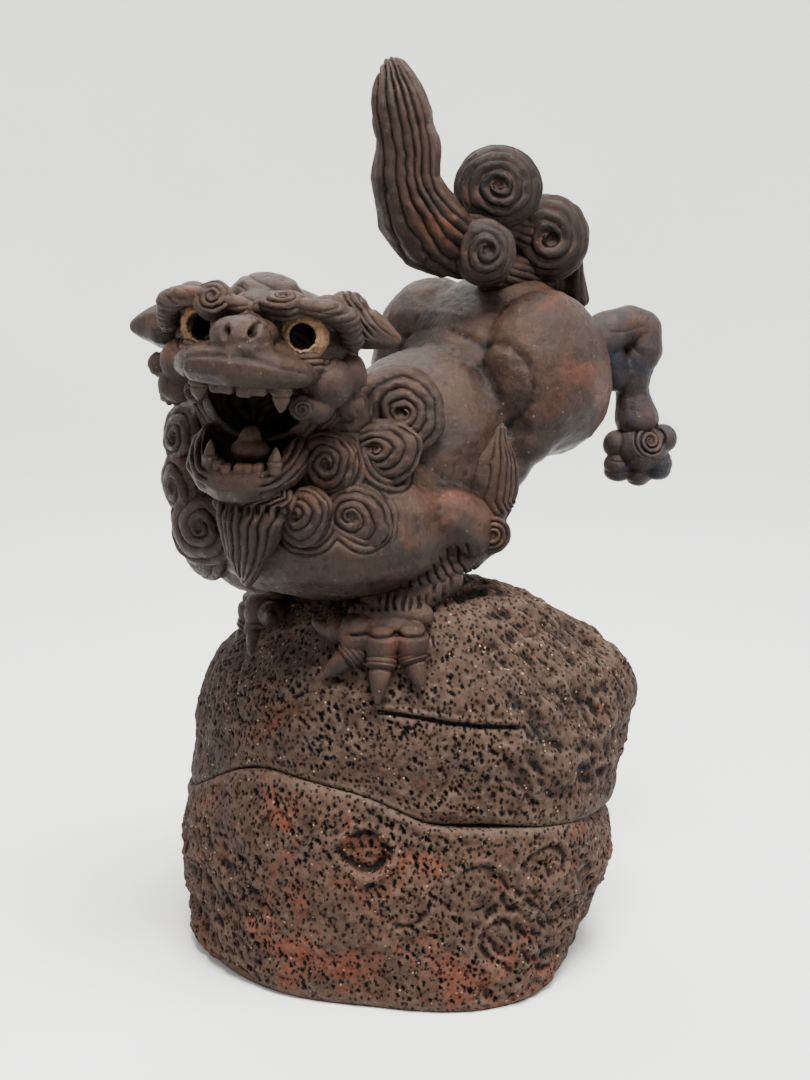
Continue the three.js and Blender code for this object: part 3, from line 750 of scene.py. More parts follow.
def rock_lid():
    cast = caster("rock_lid")
    rim = rim_heights(cast, ABOVE_CUT, True)
    rows = 48
    top_reach = 68.0  # about as far as the rock's top is from LID_CENTRE
    outer, inner = np.full((rows, COARSE), np.nan), np.full((rows, COARSE), np.nan)
    climbs = np.zeros((rows, COARSE))
    for k, turn in enumerate(COARSE_TURNS):
        way = compass(turn)
        side = cast(way * FAR + [0, 0, rim[0, k] + 7.0], -way)
        lowest = math.atan2(rim[0, k] - LID_CENTRE[2], np.linalg.norm(side[:2]))
        for i in range(rows):
            climb = lowest + (math.pi / 2 - lowest) * (i + 0.02) / (rows - 0.9)
            climbs[i, k] = climb
            look = way * math.cos(climb) + [0, 0, math.sin(climb)]
            over_flue = np.linalg.norm((LID_CENTRE + look * top_reach)[:2] - FLUE_AT) < FLUE_RADIUS + 4
            if i > rows // 2 and over_flue:
                continue
            out, back = cast(LID_CENTRE + look * FAR, -look), cast(LID_CENTRE, look)
            if out is not None:
                outer[i, k] = np.linalg.norm(out - LID_CENTRE)
            if back is not None:
                inner[i, k] = np.linalg.norm(back - LID_CENTRE)
    outer, inner = blurred(filled(outer), 1, 3), blurred(filled(inner), 1, 3)
    tall = 132
    spacing = np.concatenate([np.linspace(0, 0.62, 100), np.linspace(0.62, 1, 33)[1:]])
    corner = swelling(TURNS, [(48, 30, 2.5), (-20, 30, 2.0), (20, 26, -1.5)])

    def row_at(table, share):
        level = share * (rows - 1)
        i = min(int(level), rows - 2)
        both = stretched_table(table[i:i + 2], 2, COLUMNS)
        return both[0] * (1 - (level - i)) + both[1] * (level - i)

    def ring(table, share, inset=0.0):
        climb, reach = row_at(climbs, share), row_at(table, share) - inset
        flat = WAYS * (reach * np.cos(climb))[:, None]
        return flat + LID_CENTRE + np.stack([0 * reach, 0 * reach, reach * np.sin(climb)], axis=1)

    def swell(share):
        crest = step(0.1, 0.26, share) * step(0.62, 0.3, share)
        return corner * crest + WAIST * step(0.36, 0.12, share) + SKIN_DEPTH

    outside = [ring(outer, share, 0.8 * max(0, 1 - share * 70) - swell(share)) for share in spacing[:tall]]
    weights = [np.full(COLUMNS, min(1, share * 18 + 0.1)) for share in spacing[:tall]]
    rim_ring = ring(outer, 0, ROCK_WALL * 0.5)
    inside = [ring(inner, share) for share in (0.9, 0.75, 0.6, 0.45, 0.3, 0.15, 0.02)]
    points, faces = skin_of([*inside, rim_ring, *outside])
    obj = new_object("rock_lid_clay", points, faces)

    def carve(p):
        torn = facing(p, 18, 46) * step(66, 84, p[:, 2])
        torn = np.maximum(torn, facing(p, 150, 50) * 0.7)
        relief = rock_surface(p, torn) + furrow(p, (-54, 111.5), (-11, 105.5), 2.0)
        return relief, 1 - 0.45 * torn

    start = (len(inside) + 1) * COLUMNS
    finish_rock(obj, start, np.concatenate(weights), carve, "lid", "rock_lid", LID_ROCK)


# ---- the lion's head frame --------------------
EYE_MIDDLE = (middle_of("eye_left") + middle_of("eye_right")) / 2
HEAD_SIDE = unit(middle_of("eye_left") - middle_of("eye_right"))
HEAD_AHEAD = middle_of("nose") - EYE_MIDDLE
HEAD_AHEAD = unit(HEAD_AHEAD - HEAD_AHEAD @ HEAD_SIDE * HEAD_SIDE)
HEAD_UP = np.cross(HEAD_AHEAD, -HEAD_SIDE)
if HEAD_UP[2] < 0:
    HEAD_UP = -HEAD_UP


def head_at(side, ahead, up):
    """A place measured from between the eyes, in mm: to the lion's left, ahead and up."""
    return EYE_MIDDLE + HEAD_SIDE * side + HEAD_AHEAD * ahead + HEAD_UP * up


def in_head(points):
    offset = points - EYE_MIDDLE
    return offset @ HEAD_SIDE, offset @ HEAD_AHEAD, offset @ HEAD_UP


# ---- curls --------------------
def snail(node, axis, strands=4, depth=1.35, handed=1, start=0.0, wide=1.0, tall=1.0, eye=(0.16, -0.1),
          shift=(0, 0, 0), at=None, radius=None):
    """A rolled curl of clay strands in place of a CAD curl: domed, wound about an eye that sits off its
    middle, with strands that widen outwards and an outer strand that overruns."""
    axis = unit(axis)
    cad = cad_points(node)
    tip = cad[np.argmax(cad @ axis)]
    offset = cad - tip
    depths = offset @ axis
    away = np.linalg.norm(offset - depths[:, None] * axis, axis=1)
    radius = radius or np.percentile(away[depths > -7], 98)
    tip = tip + np.array(shift) if at is None else np.array(at)
    root = min(8.0, 0.8 * radius, -depths.min())
    east = unit(np.cross([0, 0, 1.0], axis))
    north = np.cross(axis, east)
    count, rings, falls = 176, 62, 16
    turns = np.arange(count) / count
    onward = turns if handed > 0 else 1 - turns
    outline = 0.95 + 0.14 * onward - 0.12 * step(0.93, 1.0, onward)
    for waves, height in ((2, 0.035), (5, 0.01)):
        outline += height * np.sin(2 * math.pi * (waves * turns + start))
    rows, shares, falling = [], [], []
    for i in range(1, rings + falls):
        share = min(i / rings, 1.0)
        fall = max(0, i - rings) / falls
        middle = (1 - share) * radius * np.array(eye)
        reach = radius * outline * (share + 0.03 * math.sin(math.pi * fall))
        height = 0.8 - 0.42 * radius * share**2.3 - fall * root
        rows.append(tip + axis * height
                    + np.outer(middle[0] + np.cos(2 * math.pi * turns) * reach * wide, east)
                    + np.outer(middle[1] + np.sin(2 * math.pi * turns) * reach * tall, north))
        shares.append(np.full(count, share))
        falling.append(np.full(count, fall))
    points, faces = skin_of(rows)
    obj = new_object(node + "_clay", points, faces)
    normals = normals_of(obj)
    if (normals[count:2 * count] @ axis).mean() < 0:
        obj.data.flip_normals()
        normals = normals_of(obj)
    share = np.append(np.concatenate(shares), [0, 1])
    fall = np.append(np.concatenate(falling), [0, 1])
    turn = np.append(np.tile(onward, len(rows)), [0, 0])
    phase = strands * share**0.82 + turn + start + 0.16 * noise(points, 5, 91) + 0.10 * noise(points, 2.2, 92)
    phase += 1.8 * fall
    pupil = step(0.15, 0.75, share * strands + 0.4 * np.cos(2 * math.pi * (turn - start)))
    uneven = 0.85 + 0.35 * noise(points, 6, 94)
    groove = ridges(phase, 0.62) * (1 - step(0.7, 1.0, fall))
    relief = depth * uneven * (groove * pupil - 1.5 * (1 - pupil))
    relief += 0.30 * noise(points, 3, 93) + 0.10 * noise(points, 1.1, 95)
    set_points(obj, points + normals * relief[:, None])
    mark_creases(obj)
    dress(obj, [node], HAIR)


def snail_ball(node, strands, depth, start, grow=1.0, shift=(0, 0, 0)):
    """A fat curl of the tail, wound like a rope on both faces and round its edge."""
    axis = unit([1, -1, 0.15])
    cad = cad_points(node)
    middle = middle_of_box(cad)
    centre = middle + shift
    east = unit(np.cross([0, 0, 1.0], axis))
    north = np.cross(axis, east)
    radii = [np.percentile(np.abs((cad - middle) @ way), 99.5) * grow for way in (east, north, axis)]
    count, rings = 230, 150
    turns = np.arange(count) / count * 2 * math.pi
    rows = []
    for i in range(1, rings):
        polar = math.pi * i / rings
        flat, up = math.sin(polar), math.cos(polar)
        rows.append(
            centre
            + np.outer(np.cos(turns) * flat * radii[0], east)
            + np.outer(np.sin(turns) * flat * radii[1], north)
            + axis * up * radii[2]
        )
    points, faces = skin_of(rows)
    obj = new_object(node + "_clay", points, faces)
    offset = points - centre
    normals = offset / np.linalg.norm(offset, axis=1, keepdims=True)
    x, y, z = offset @ east / radii[0], offset @ north / radii[1], offset @ axis / radii[2]
    polar = np.arctan2(np.hypot(x, y), np.abs(z)) / (math.pi / 2)
    turn = -np.arctan2(y, x) / (2 * math.pi)
    phase = strands * polar**0.8 + turn + start + 0.2 * noise(points, 8, 97) + 0.1 * noise(points, 3, 98)
    pupil = step(0.1, 0.6, polar * strands + 0.35 * np.cos(2 * math.pi * (turn - start)))
    uneven = 0.85 + 0.3 * noise(points, 7, 96)
    relief = depth * uneven * (ridges(phase) * pupil - 1.5 * (1 - pupil))
    relief += 0.3 * noise(points, 4, 99) + 0.08 * noise(points, 1.2, 95)
    set_points(obj, points + normals * relief[:, None])
    mark_creases(obj)
    dress(obj, [node], HAIR)


# ---- the pieces --------------------
MANE_SHIFT = np.array([-3.2, -3.2, 0.0])  # off the CAD curls that face the lion's left
MANE = {
    "shoulder": dict(axis=(0.72, -0.6, 0.25), strands=4.6, handed=1, start=0.1, wide=1.12, tall=1.08,
                     depth=1.6),
    "nape": dict(axis=(0.7, -0.6, 0.3), strands=2.6, handed=-1, start=0.4, wide=1.1, eye=(-0.1, 0.2)),
    "throat_left": dict(axis=(0.6, -0.8, 0), strands=3.6, handed=-1, start=0.7, wide=0.95, eye=(0.1, 0.22)),
    "neck_left": dict(axis=(0.75, -0.65, 0.1), strands=4.0, handed=-1, start=0.2, wide=1.22,
                      eye=(-0.2, 0.2)),
    "breast_left": dict(axis=(0.5, -0.85, 0.1), strands=3.4, handed=-1, start=0.9, wide=0.86,
                        tall=0.95, eye=(-0.15, 0.2)),
    "breast_outer": dict(axis=(0.7, -0.7, 0.1), strands=3.6, handed=1, start=0.5, wide=1.18, tall=1.15,
                         eye=(-0.25, 0.2)),
    "breast_right": dict(axis=(0.25, -0.95, 0.15), strands=3.6, handed=1, start=0.0, wide=1.05),
    "throat_right": dict(axis=(-0.15, -0.95, 0.2), strands=3.4, handed=1, start=0.3),
    "jowl_right": dict(axis=(-0.15, -0.97, 0), strands=3, handed=1, start=0.6),
    "neck_right": dict(axis=(-0.95, -0.1, 0.3), strands=4.2, handed=-1, start=0.8, wide=1.1),
    "breast_low": dict(axis=(-0.1, -0.95, -0.1), strands=3, handed=1, start=0.5),
}


def curl_places():
    """Middle and radius of each mane curl on the chest and neck."""
    places = []
    for name in MANE:
        cad = cad_points(f"mane_curl_{name}")
        middle = middle_of_box(cad) + MANE_SHIFT
        places.append((middle, np.ptp(cad, axis=0).max() / 2))
    return places


# Clay added to the CAD's body: (x, y, z, radius), with the flank's on both sides
CHEST = [(-16.5, -66.0, 166.0, 15.0), (-11.0, -61.0, 158.5, 15.5)]
FLANK = [(25, 25, 187, 12.0), (29, 33, 196, 14.0)]


def make_trunk():
    places = curl_places()
    flanks = [(x * sign, y, z, radius) for x, y, z, radius in FLANK for _, sign in SIDES]
    padding = [lump([x, y, z], [radius] * 3) for x, y, z, radius in CHEST + flanks]
    belly_from, rump_from, lift = 162.0, 208.0, 0.3

    def lifted(p):
        """The belly drawn up off the rock, and the rump's underside with it."""
        out = p.copy()
        out[:, 2] += lift * np.maximum(belly_from - p[:, 2], 0)
        out[:, 2] += lift * np.maximum(rump_from - p[:, 2], 0) * step(20, 45, p[:, 1])
        return out

    def carve(p, n):
        relief = handled(p, 1.5)
        relief += 0.15 * noise(p, 1.9, 19)
        beyond = np.min([np.linalg.norm(p - middle, axis=1) - radius for middle, radius in places], axis=0)
        hair = step(6.5, 2.0, beyond) * step(10, -12, p[:, 1])
        relief += 1.1 * hair * ridges(beyond / 2.6 + 0.35 * noise(p, 7, 65), 0.6)
        for word, sign in SIDES:
            crease = p[:, 1] - (16 + 7 * np.sin((p[:, 2] - 196) / 14))
            front = step(0, 8, p[:, 0] * sign) * step(172, 184, p[:, 2]) * step(240, 226, p[:, 2])
            relief -= front * bell(crease, 1.6)
            wrist = middle_of(f"fore_paw_{word}") + [4 * sign, 22, 14]
            relief += forearm_slots(p, wrist, sign)
        return relief

    nodes = ["trunk", "haunch_left", "haunch_right", "fore_leg_left", "fore_leg_right"]
    clay(nodes, 1.1, 12, carve, SKIN, name="body", swell=0.4, extra=padding, move=lifted)


def forearm_slots(p, middle, sign):
    """Short slots cut across the forearm's outer side, one after another up to the elbow."""
    way = unit([0.35 * sign, 0.8, 0.45])
    offset = p - middle
    along = offset @ way
    off = np.linalg.norm(offset - along[:, None] * way, axis=1)
    near = step(15, 12, off) * step(17, 13, np.abs(along))
    slots = step(0.16, 0.05, np.abs((along / 3.4 + 0.12 * noise(p, 4, 57)) % 1 - 0.5))
    broken = step(-0.4, -0.1, noise(p * [1, 1, 0.4], 9, 58))
    return -1.2 * near * slots * broken


def head_lump(side, ahead, up, radii, squareness=1.0):
    """A lump of clay on the head, its radii measured across, ahead and up."""
    return lump(head_at(side, ahead, up), radii, np.array([HEAD_SIDE, HEAD_AHEAD, HEAD_UP]), squareness)


def head_limb(stations):
    return limb([[*head_at(side, ahead, up), radius] for side, ahead, up, radius in stations])


# Lumps in the head's frame: (to the lion's left, ahead, up, radius). The brow is the left one, and each
# cheek begins with its curl
BROW = [
    (3, 5, 7.0, 2.8), (9, 6.5, 8.8, 2.7), (17, 5.5, 9.3, 2.7), (24, 1, 8.0, 3.6), (29.5, -4, 4.8, 4.4),
    (31, -8, -2, 3.6),
]
CHEEKS = {
    "left": [
        (17.9, 2.5, -23.5, 4.2), (24, -6, -16, 8.6), (28, -13, -14, 7.6), (22, -3, -24, 5.2),
        (19, 1, -10, 5.2), (30, -14, -24, 5.0),
    ],
    "right": [
        (-16.8, 4.5, -21.5, 3.8), (-25, -6, -14, 7.4), (-27, -8, -22, 6.4), (-34, -12, -17, 4.6),
        (-19, 1, -10, 5.0), (-30, -14, -26, 5.0),
    ],
}


def make_head():
    def carve(p, n):
        side, ahead, up = in_head(p)
        relief = handled(p, 1.0, 21) + 0.12 * noise(p, 1.5, 22)
        whisker = step(-10, -16, ahead) * step(6, -2, up)
        relief += 1.6 * whisker * ridges((ahead + 0.25 * up) / 3.0 + 0.3 * noise(p, 6, 24), 0.6)
        for across in (-2.4, 6.1):
            nostril = np.hypot((side - across) / 1.25, (up - 2.0 - 0.1 * across) / 2.0)
            relief -= 3.6 * np.exp(-(nostril**4)) * step(12, 16, ahead)
        frown = step(3, 7, up) * step(13, 8, np.abs(side)) * step(16, 8, ahead)
        relief += 0.6 * frown * ridges(up / 3.4 + 0.06 * side + 0.3 * noise(p, 8, 25), 0.5)
        fold = bell(side + 17, 0.8) * step(4, 10, ahead) * step(-2, -6, up)
        lip_line = bell(up + 5.2 + 0.012 * side**2, 0.8) * step(2, 10, ahead) * step(24, 18, np.abs(side))
        return relief - 0.9 * fold - 0.5 * lip_line

    crown = head_lump(-1.5, -15, 7.5, [11.5, 10.5, 8.3])
    forehead = head_lump(0.5, -2, 5.0, [9.0, 9.5, 7.0])
    bridge = head_lump(1.5, 9, 0.0, [8.5, 10.0, 5.5])
    muzzle = head_lump(-1.0, 11, -9.0, [19.5, 15.5, 6.0])
    under_nose = head_lump(1.5, 17, -3.5, [9.5, 9.0, 4.8])
    extra = [crown, forehead, bridge, muzzle, under_nose]
    for word, sign in SIDES:
        temple = middle_of(f"eye_{word}") + HEAD_UP * 6.0 + HEAD_SIDE * 5.0 * sign - HEAD_AHEAD * 6.0
        extra.append(lump(temple, [6.0] * 3))
    nodes = ["head_shell", "crown_tuft", "upper_lip", "nose"]
    clay(nodes, 0.7, 8, carve, SKIN, name="head", swell=0.3, extra=extra)

    def jaw(p, n):
        side, ahead, up = in_head(p)
        level = np.hypot(np.maximum(np.abs(side + 1) - 8, 0), (up + 37) * 0.9)
        corner = step(7, 11, np.abs(side + 1)) * step(-24, -14, ahead)
        return handled(p, 0.8, 33) + 1.5 * corner * ridges(level / 2.7 + 0.2 * noise(p, 6, 34), 0.6)

    def lowered(p):
        """The front of the lower lip set down, so that the teeth stand clear of it."""
        ahead, up = in_head(p)[1:]
        return p - np.outer(0.28 * step(-4, 3, ahead) * np.maximum(up + 50, 0), HEAD_UP)

    clay(["lower_jaw"], 0.55, 8, jaw, SKIN, swell=0.3, move=lowered)

    def licked(p, n):
        return 0.5 * fractal(p, 5, 35)

    tongue_top = [head_lump(1, -1, -40.0, [6.2, 6.0, 3.8]), head_lump(0.5, -2, -37.0, [3.6, 4.2, 4.6])]
    clay(["tongue"], 0.45, 5, licked, WARM, extra=tongue_top)

    for word, sign in SIDES:
        def cheek(p, n, word=word, sign=sign):
            side, ahead, up = in_head(p)
            from_eye = np.linalg.norm(p - middle_of(f"eye_{word}"), axis=1)
            folds = step(15, 12, from_eye) * step(-4, -7, up)
            knob = head_at(*CHEEKS[word][0][:3])
            relief = handled(p, 1.1, 37) + 0.9 * folds * ridges((from_eye - 7) / 2.3, 0.6)
            relief += spiral(p, knob, HEAD_AHEAD + 0.3 * sign * HEAD_SIDE, 4.6, 1.5, 0.9, handed=sign)
            back = step(-8, -13, ahead)
            return relief + 1.2 * back * ridges((np.abs(side) + 0.3 * up) / 2.9 + 0.3 * noise(p, 6, 38), 0.6)

        lumps = [head_lump(*place[:3], [place[3]] * 3) for place in CHEEKS[word]]
        clay([f"cheek_{word}"], 0.5, 5, cheek, WARM, shapes=lumps, swell=0.2)

        def eye(p, n):
            return 0.25 * fractal(p, 2.2, 39) + 0.18 * noise(p, 0.9, 40)

        clay([f"eye_{word}"], 0.35, 2, eye, EYE, swell=0.1)

        def brow(p, n, sign=sign):
            side, ahead, up = in_head(p)
            outer = step(19, 25, side * sign)
            hair = 0.45 * outer * ridges((up + 0.5 * ahead) / 2.7 + 0.3 * noise(p, 6, 44))
            return handled(p, 1.2, 43) + hair + 0.4 * ridges(up / 4.5 + 0.5 * noise(p, 8, 46), 0.5)

        shape = head_limb([(side * sign, ahead, up, radius) for side, ahead, up, radius in BROW])
        clay([f"brow_{word}"], 0.5, 5, brow, SKIN, swell=0.2, shapes=shape)

    fang("upper_fang_left", -1, 3.4, length=8.5, shift=(0, 1.0, 0))
    fang("upper_fang_right", -1, 3.2, length=7.5, shift=(0, 1.0, 0))
    fang("lower_fang_left", 1, 2.4, length=7.2, shift=(-1.5, 1.0, 0.6))
    fang("lower_fang_right", 1, 2.4, length=7.5, shift=(5.5, 2.2, 0.8))

    snail("brow_curl_right", 0.82 * HEAD_AHEAD + 0.5 * HEAD_UP - 0.1 * HEAD_SIDE, strands=3.2, depth=0.9,
          handed=-1, start=0.3, at=head_at(-12.6, 9.0, 10.2), radius=6.3)
    snail("brow_curl_left", 0.5 * HEAD_AHEAD + 0.87 * HEAD_UP, strands=3, depth=0.8, handed=1, start=0.1,
          at=head_at(10.6, 7.0, 12.6), radius=6.2, wide=1.2, tall=0.8)
    teeth("upper_teeth", 4, trim=3.5, from_top=False, ahead=0.6)
    teeth("lower_teeth", 6, trim=3.2, from_top=True, ahead=1.4)

    def hatched(p, n):
        side, ahead, up = in_head(p)
        hatch = ridges((side + 0.9 * up) / 2.5, 0.7) * step(22, 26, side) * step(-6, -2, up)
        return handled(p, 0.8, 49) + 1.0 * hatch * step(0.1, 0.5, n @ (HEAD_UP + 0.5 * HEAD_AHEAD))

    clay(["ear_left"], 0.5, 5, hatched, SKIN)
    clay(["ear_right"], 0.5, 6, lambda p, n: handled(p, 1.1, 51), SKIN)


def fang(node, rises, radius, length, shift):
    """A stubby round fang with a rolled collar at its root."""
    side, ahead, up = in_head(cad_points(node))
    root_up = up.max() if rises < 0 else up.min() + 2.0
    root = head_at(side.mean() + shift[0], ahead.mean() + shift[1], root_up + shift[2])
    way = HEAD_UP * rises
    stations = [(*(root + way * length * t), radius * (1 - 0.85 * t**1.9)) for t in (0, 0.25, 0.5, 0.75, 1)]
    body = limb(stations, 0.5)
    collar_at = 0.36

    def carve(p, n):
        along = (p - root) @ way / length
        ring = bell(along - collar_at + 0.08, 0.09) - 0.7 * bell(along - collar_at - 0.07, 0.04)
        return 0.35 * ring + 0.25 * noise(p, 2.5, 45)

    clay([node], 0.35, 2, carve, TOOTH, shapes=body, swell=0.1)


def teeth(node, count, trim, from_top, ahead):
    """A row of blunt block teeth, one to each equal share of the CAD row, cut short by `trim` at one end."""
    cad = cad_points(node)
    along = (cad - EYE_MIDDLE) @ HEAD_SIDE
    edges = np.linspace(along.min(), along.max(), count + 1)
    blocks = []
    for k, (low, high) in enumerate(zip(edges, edges[1:])):
        near = cad[(along >= low - 0.5) & (along <= high + 0.5)]
        up = (near - EYE_MIDDLE) @ HEAD_UP
        bottom, top = (up.min(), up.max() - trim) if from_top else (up.min() + trim, up.max())
        at = middle_of_box(near) + HEAD_AHEAD * ahead
        at = at + HEAD_UP * ((bottom + top) / 2 - (at - EYE_MIDDLE) @ HEAD_UP + 0.35 * math.sin(2.4 * k))
        half = (high - low) / 2
        axes = np.array([HEAD_SIDE, HEAD_AHEAD, HEAD_UP])
        blocks.append(lump(at, [half * 0.97, 2.3, (top - bottom) / 2], axes, 0.5))

    def worn(p, n):
        return 0.3 * fractal(p, 3, 53)

    clay([node], 0.32, 1, worn, TOOTH, shapes=blocks, swell=0.1)


def make_mane():
    for name, shape in MANE.items():
        snail(f"mane_curl_{name}", shift=MANE_SHIFT * (0.2 if shape["axis"][0] < 0.3 else 1.0), **shape)

    def beard(p, n):
        cad = cad_points("beard")
        tip = cad[np.argmin(cad[:, 2])]
        side, ahead, up = in_head(p)
        relief = combed(p, tip, 8, 1.7, 0.4, seed=8)
        holes = step(0.3, 0.12, np.abs((side / 3.1 + 0.3) % 1 - 0.5)) * bell(up + 58, 1.6)
        return relief + 0.2 * noise(p, 3, 55) - 1.8 * holes * step(-2, 2, ahead)

    clay(["beard"], 0.5, 6, beard, HAIR, swell=0.5,
         extra=head_limb([(-5.5, 1, -58, 4.2), (4, 3, -56.5, 4.6), (13.5, 1, -55.5, 4.2)]))


# The left legs, as places and stations (x, y, z, radius). The right ones are their mirror images
ELBOW_CURL = (44.5, -1.5, 168.0)
HIND_LEG = [
    (27, 70, 224, 8.5), (29, 80, 229, 8.0), (31, 90, 231, 7.0), (34, 95, 229, 6.6), (35.5, 94, 222, 6.8),
    (32.8, 90.8, 213, 7.0), (33, 91, 204, 6.4), (35, 91.5, 195, 8.4),
]
THIGH_WEB = [(29.0, 79, 220, 7.0), (30.5, 83, 212, 6.0)]
HIND_PAW = (37.2, 92.2, 184.0)


def make_legs():
    for word, sign in SIDES:
        make_paw(word, sign)
        mirror = np.array([sign, 1, 1])
        out = unit([0.8 * sign, -0.6, 0.1])
        heart = np.array(ELBOW_CURL) * mirror

        def tuft(p, n, word=word, sign=sign, out=out, heart=heart):
            cad = cad_points(f"elbow_tuft_{word}")
            tip = cad[np.argmax(cad[:, 2])]
            round_curl = step(8.5, 6.8, np.linalg.norm(p - heart, axis=1))
            hair = combed(p, tip, 6, 1.5, 0.3)
            return (hair * (1 - round_curl) + spiral(p, heart, out, 9, 2.2, 1.3, handed=sign) * round_curl
                    + 0.2 * noise(p, 3, 61))

        button = lump(heart, [7.2, 3.4, 7.2], np.array([np.cross(out, [0, 0, 1.0]), out, [0, 0, 1.0]]))
        clay([f"elbow_tuft_{word}"], 0.5, 4, tuft, HAIR, extra=[button])

        def hind_leg(p, n):
            relief = handled(p, 1.5, 63)
            bunched = step(0.0, 0.6, noise(p, 12, 66))
            return relief + 0.6 * bunched * ridges(p[:, 2] / 8 + 0.5 * noise(p, 10, 64), 0.5)

        leg, web = (limb(np.array(stations) * [sign, 1, 1, 1]) for stations in (HIND_LEG, THIGH_WEB))
        knob = lump([36.5 * sign, 96.5, 221], [4.6, 5.0, 4.4])
        clay([f"hind_leg_{word}"], 0.6, 6, hind_leg, SMOKED, shapes=[*leg, *web, knob], swell=0.3)

        paw_middle = np.array(HIND_PAW) * mirror
        facing_out = unit([0.75 * sign, -0.6, 0.2])

        def hind_paw(p, n, facing_out=facing_out, paw_middle=paw_middle, sign=sign):
            heart = paw_middle + facing_out * 8 + [1.5 * sign, 1.5, 2.5]
            relief = handled(p, 1.3, 67) + spiral(p, heart, facing_out, 7.5, 2.3, 1.5, handed=-sign, reach=8)
            return relief + 0.5 * ridges(p[:, 2] / 5 + 0.4 * noise(p, 7, 68), 0.5) * step(186, 178, p[:, 2])

        across = np.array([0.707 * sign, 0.707, 0])
        toes = [lump(paw_middle + across * offset + [0, -1.5, drop], [5.0, 5.4, 5.8], squareness=0.8)
                for offset, drop in ((-7.5, -7.5), (0.5, -9.2), (7.5, -7.0))]
        ball = lump(paw_middle, [10.2, 10.2, 10.2])
        thumb = lump(paw_middle - across * 9.2 + [0, 0, 1], [5.3, 5.6, 5.4])
        heel = lump(paw_middle + across * 8.2 + [0, 0, 3.5], [5.6, 5.6, 5.6])
        clay([f"hind_paw_{word}"], 0.5, 2, hind_paw, SMOKED, shapes=[ball, thumb, heel, *toes], swell=0.2)


# The left fore paw: each toe's middle and radii
TOES = [
    ((25.0, -49.0, 137.5), (5.5, 6.4, 6.8)),
    ((33.5, -44.8, 135.0), (5.5, 6.4, 6.4)),
    ((40.5, -37.0, 135.6), (5.5, 6.2, 6.2)),
]
CLAWS = [  # each from root to tip
    ((25.0, -50.5, 131.0), (19.0, -59.0, 122.8)),
    ((34.5, -46.0, 130.0), (38.0, -51.5, 115.5)),
    ((40.8, -37.5, 131.0), (46.5, -38.0, 119.5)),
]
CUFF = [(22.5, -44.5, 142.6, 4.4), (30.5, -37.5, 143.2, 5.2), (38.0, -30.5, 142.8, 4.4)]  # with radii


def make_paw(word, sign):
    """A fore paw: a cuff of fur, three toes and a dew toe, and a claw in a collar on each toe."""
    mirror = np.array([sign, 1, 1])
    drop = np.array([0, 0, 0.0 if sign > 0 else -2.5])

    def place(spot):
        return np.array(spot) * mirror + drop

    across, ahead = unit([sign, 1, 0]), unit([sign, -1, 0])
    upright = np.array([0, 0, 1.0])
    axes = np.array([across, ahead, upright])
    toes = [lump(place(at), radii, axes, 0.86) for at, radii in TOES]
    palm = lump(place((29.0, -38.0, 136.0)), [13.5, 9.0, 9.0], axes, 0.85)
    dew = lump(place((17.5, -50.5, 138.0)), [4.8, 5.2, 5.0], axes)
    dew_claw = limb([(*place((15.0, -53.5, 138.0)), 3.0), (*place((12.5, -56.5, 140.5)), 1.2)], 0.6)
    rim = limb([(*place(spot[:3]), spot[3]) for spot in CUFF])
    fur = lump(place((27.5, -34.0, 146.5)), [11.0, 8.5, 6.0], axes)
    wrist = limb([(*place((31.0, -27.0, 147.0)), 6.5), (*place((35.0, -14.0, 152.0)), 5.6)])

    def carve(p, n):
        offset = p - place(CUFF[1][:3])
        forward, over = offset @ ahead, offset[:, 2]
        ticks = step(0.30, 0.12, np.abs((offset @ across / 2.8 + 0.3 * noise(p, 5, 70)) % 1 - 0.5))
        band = step(6.5, 5.0, forward) * step(-9.5, -7.0, forward) * step(1.5, 3.5, over)
        under = bell(over + 4.4, 0.8) * step(-2, 1, forward) * step(16, 13, np.abs(offset @ across))
        return handled(p, 1.1, 69) - 1.1 * ticks * band * step(-0.5, 0.1, noise(p, 4, 71)) - 1.2 * under

    shapes = [*toes, palm, dew, *dew_claw, *rim, fur, *wrist]
    clay([f"fore_paw_{word}"], 0.5, 2, carve, WARM, shapes=shapes, swell=0.2)
    order = (1, 2, 3) if sign > 0 else (3, 2, 1)
    for k, (root, tip) in zip(order, CLAWS):
        claw(f"fore_claw_{word}_{k}", place(root), place(tip))


def claw(node, root, tip):
    """A blunt, thick claw set in a rolled collar."""
    way, length = unit(tip - root), np.linalg.norm(tip - root)
    stations = [(*(root + way * length * t), 3.9 * (1 - t**1.8) + 0.5) for t in (0, 0.2, 0.4, 0.6, 0.8, 0.92)]
    body = limb(stations, 0.5)

    def carve(p, n):
        along = (p - root) @ way / length
        collar = step(0.24, 0.14, along) - 0.6 * bell(along - 0.26, 0.04)
        return collar + 0.4 * ridges(along * 9, 0.7) * step(0.25, 0.15, along) + 0.15 * noise(p, 2.5, 73)

    clay([node], 0.4, 2, carve, WARM, shapes=body, swell=0.1)


# The plume's outline, level by level: height, width against the CAD's, and shift to the right
PLUME = np.array([
    (262, 0.97, 0.6), (280, 0.9, 1.3), (290, 0.82, 0.9), (299, 0.86, 1.9), (308, 0.96, 1.1), (318, 1.22, 1.6),
    (325, 1.42, 1.5), (330, 1.6, 0.9),
])


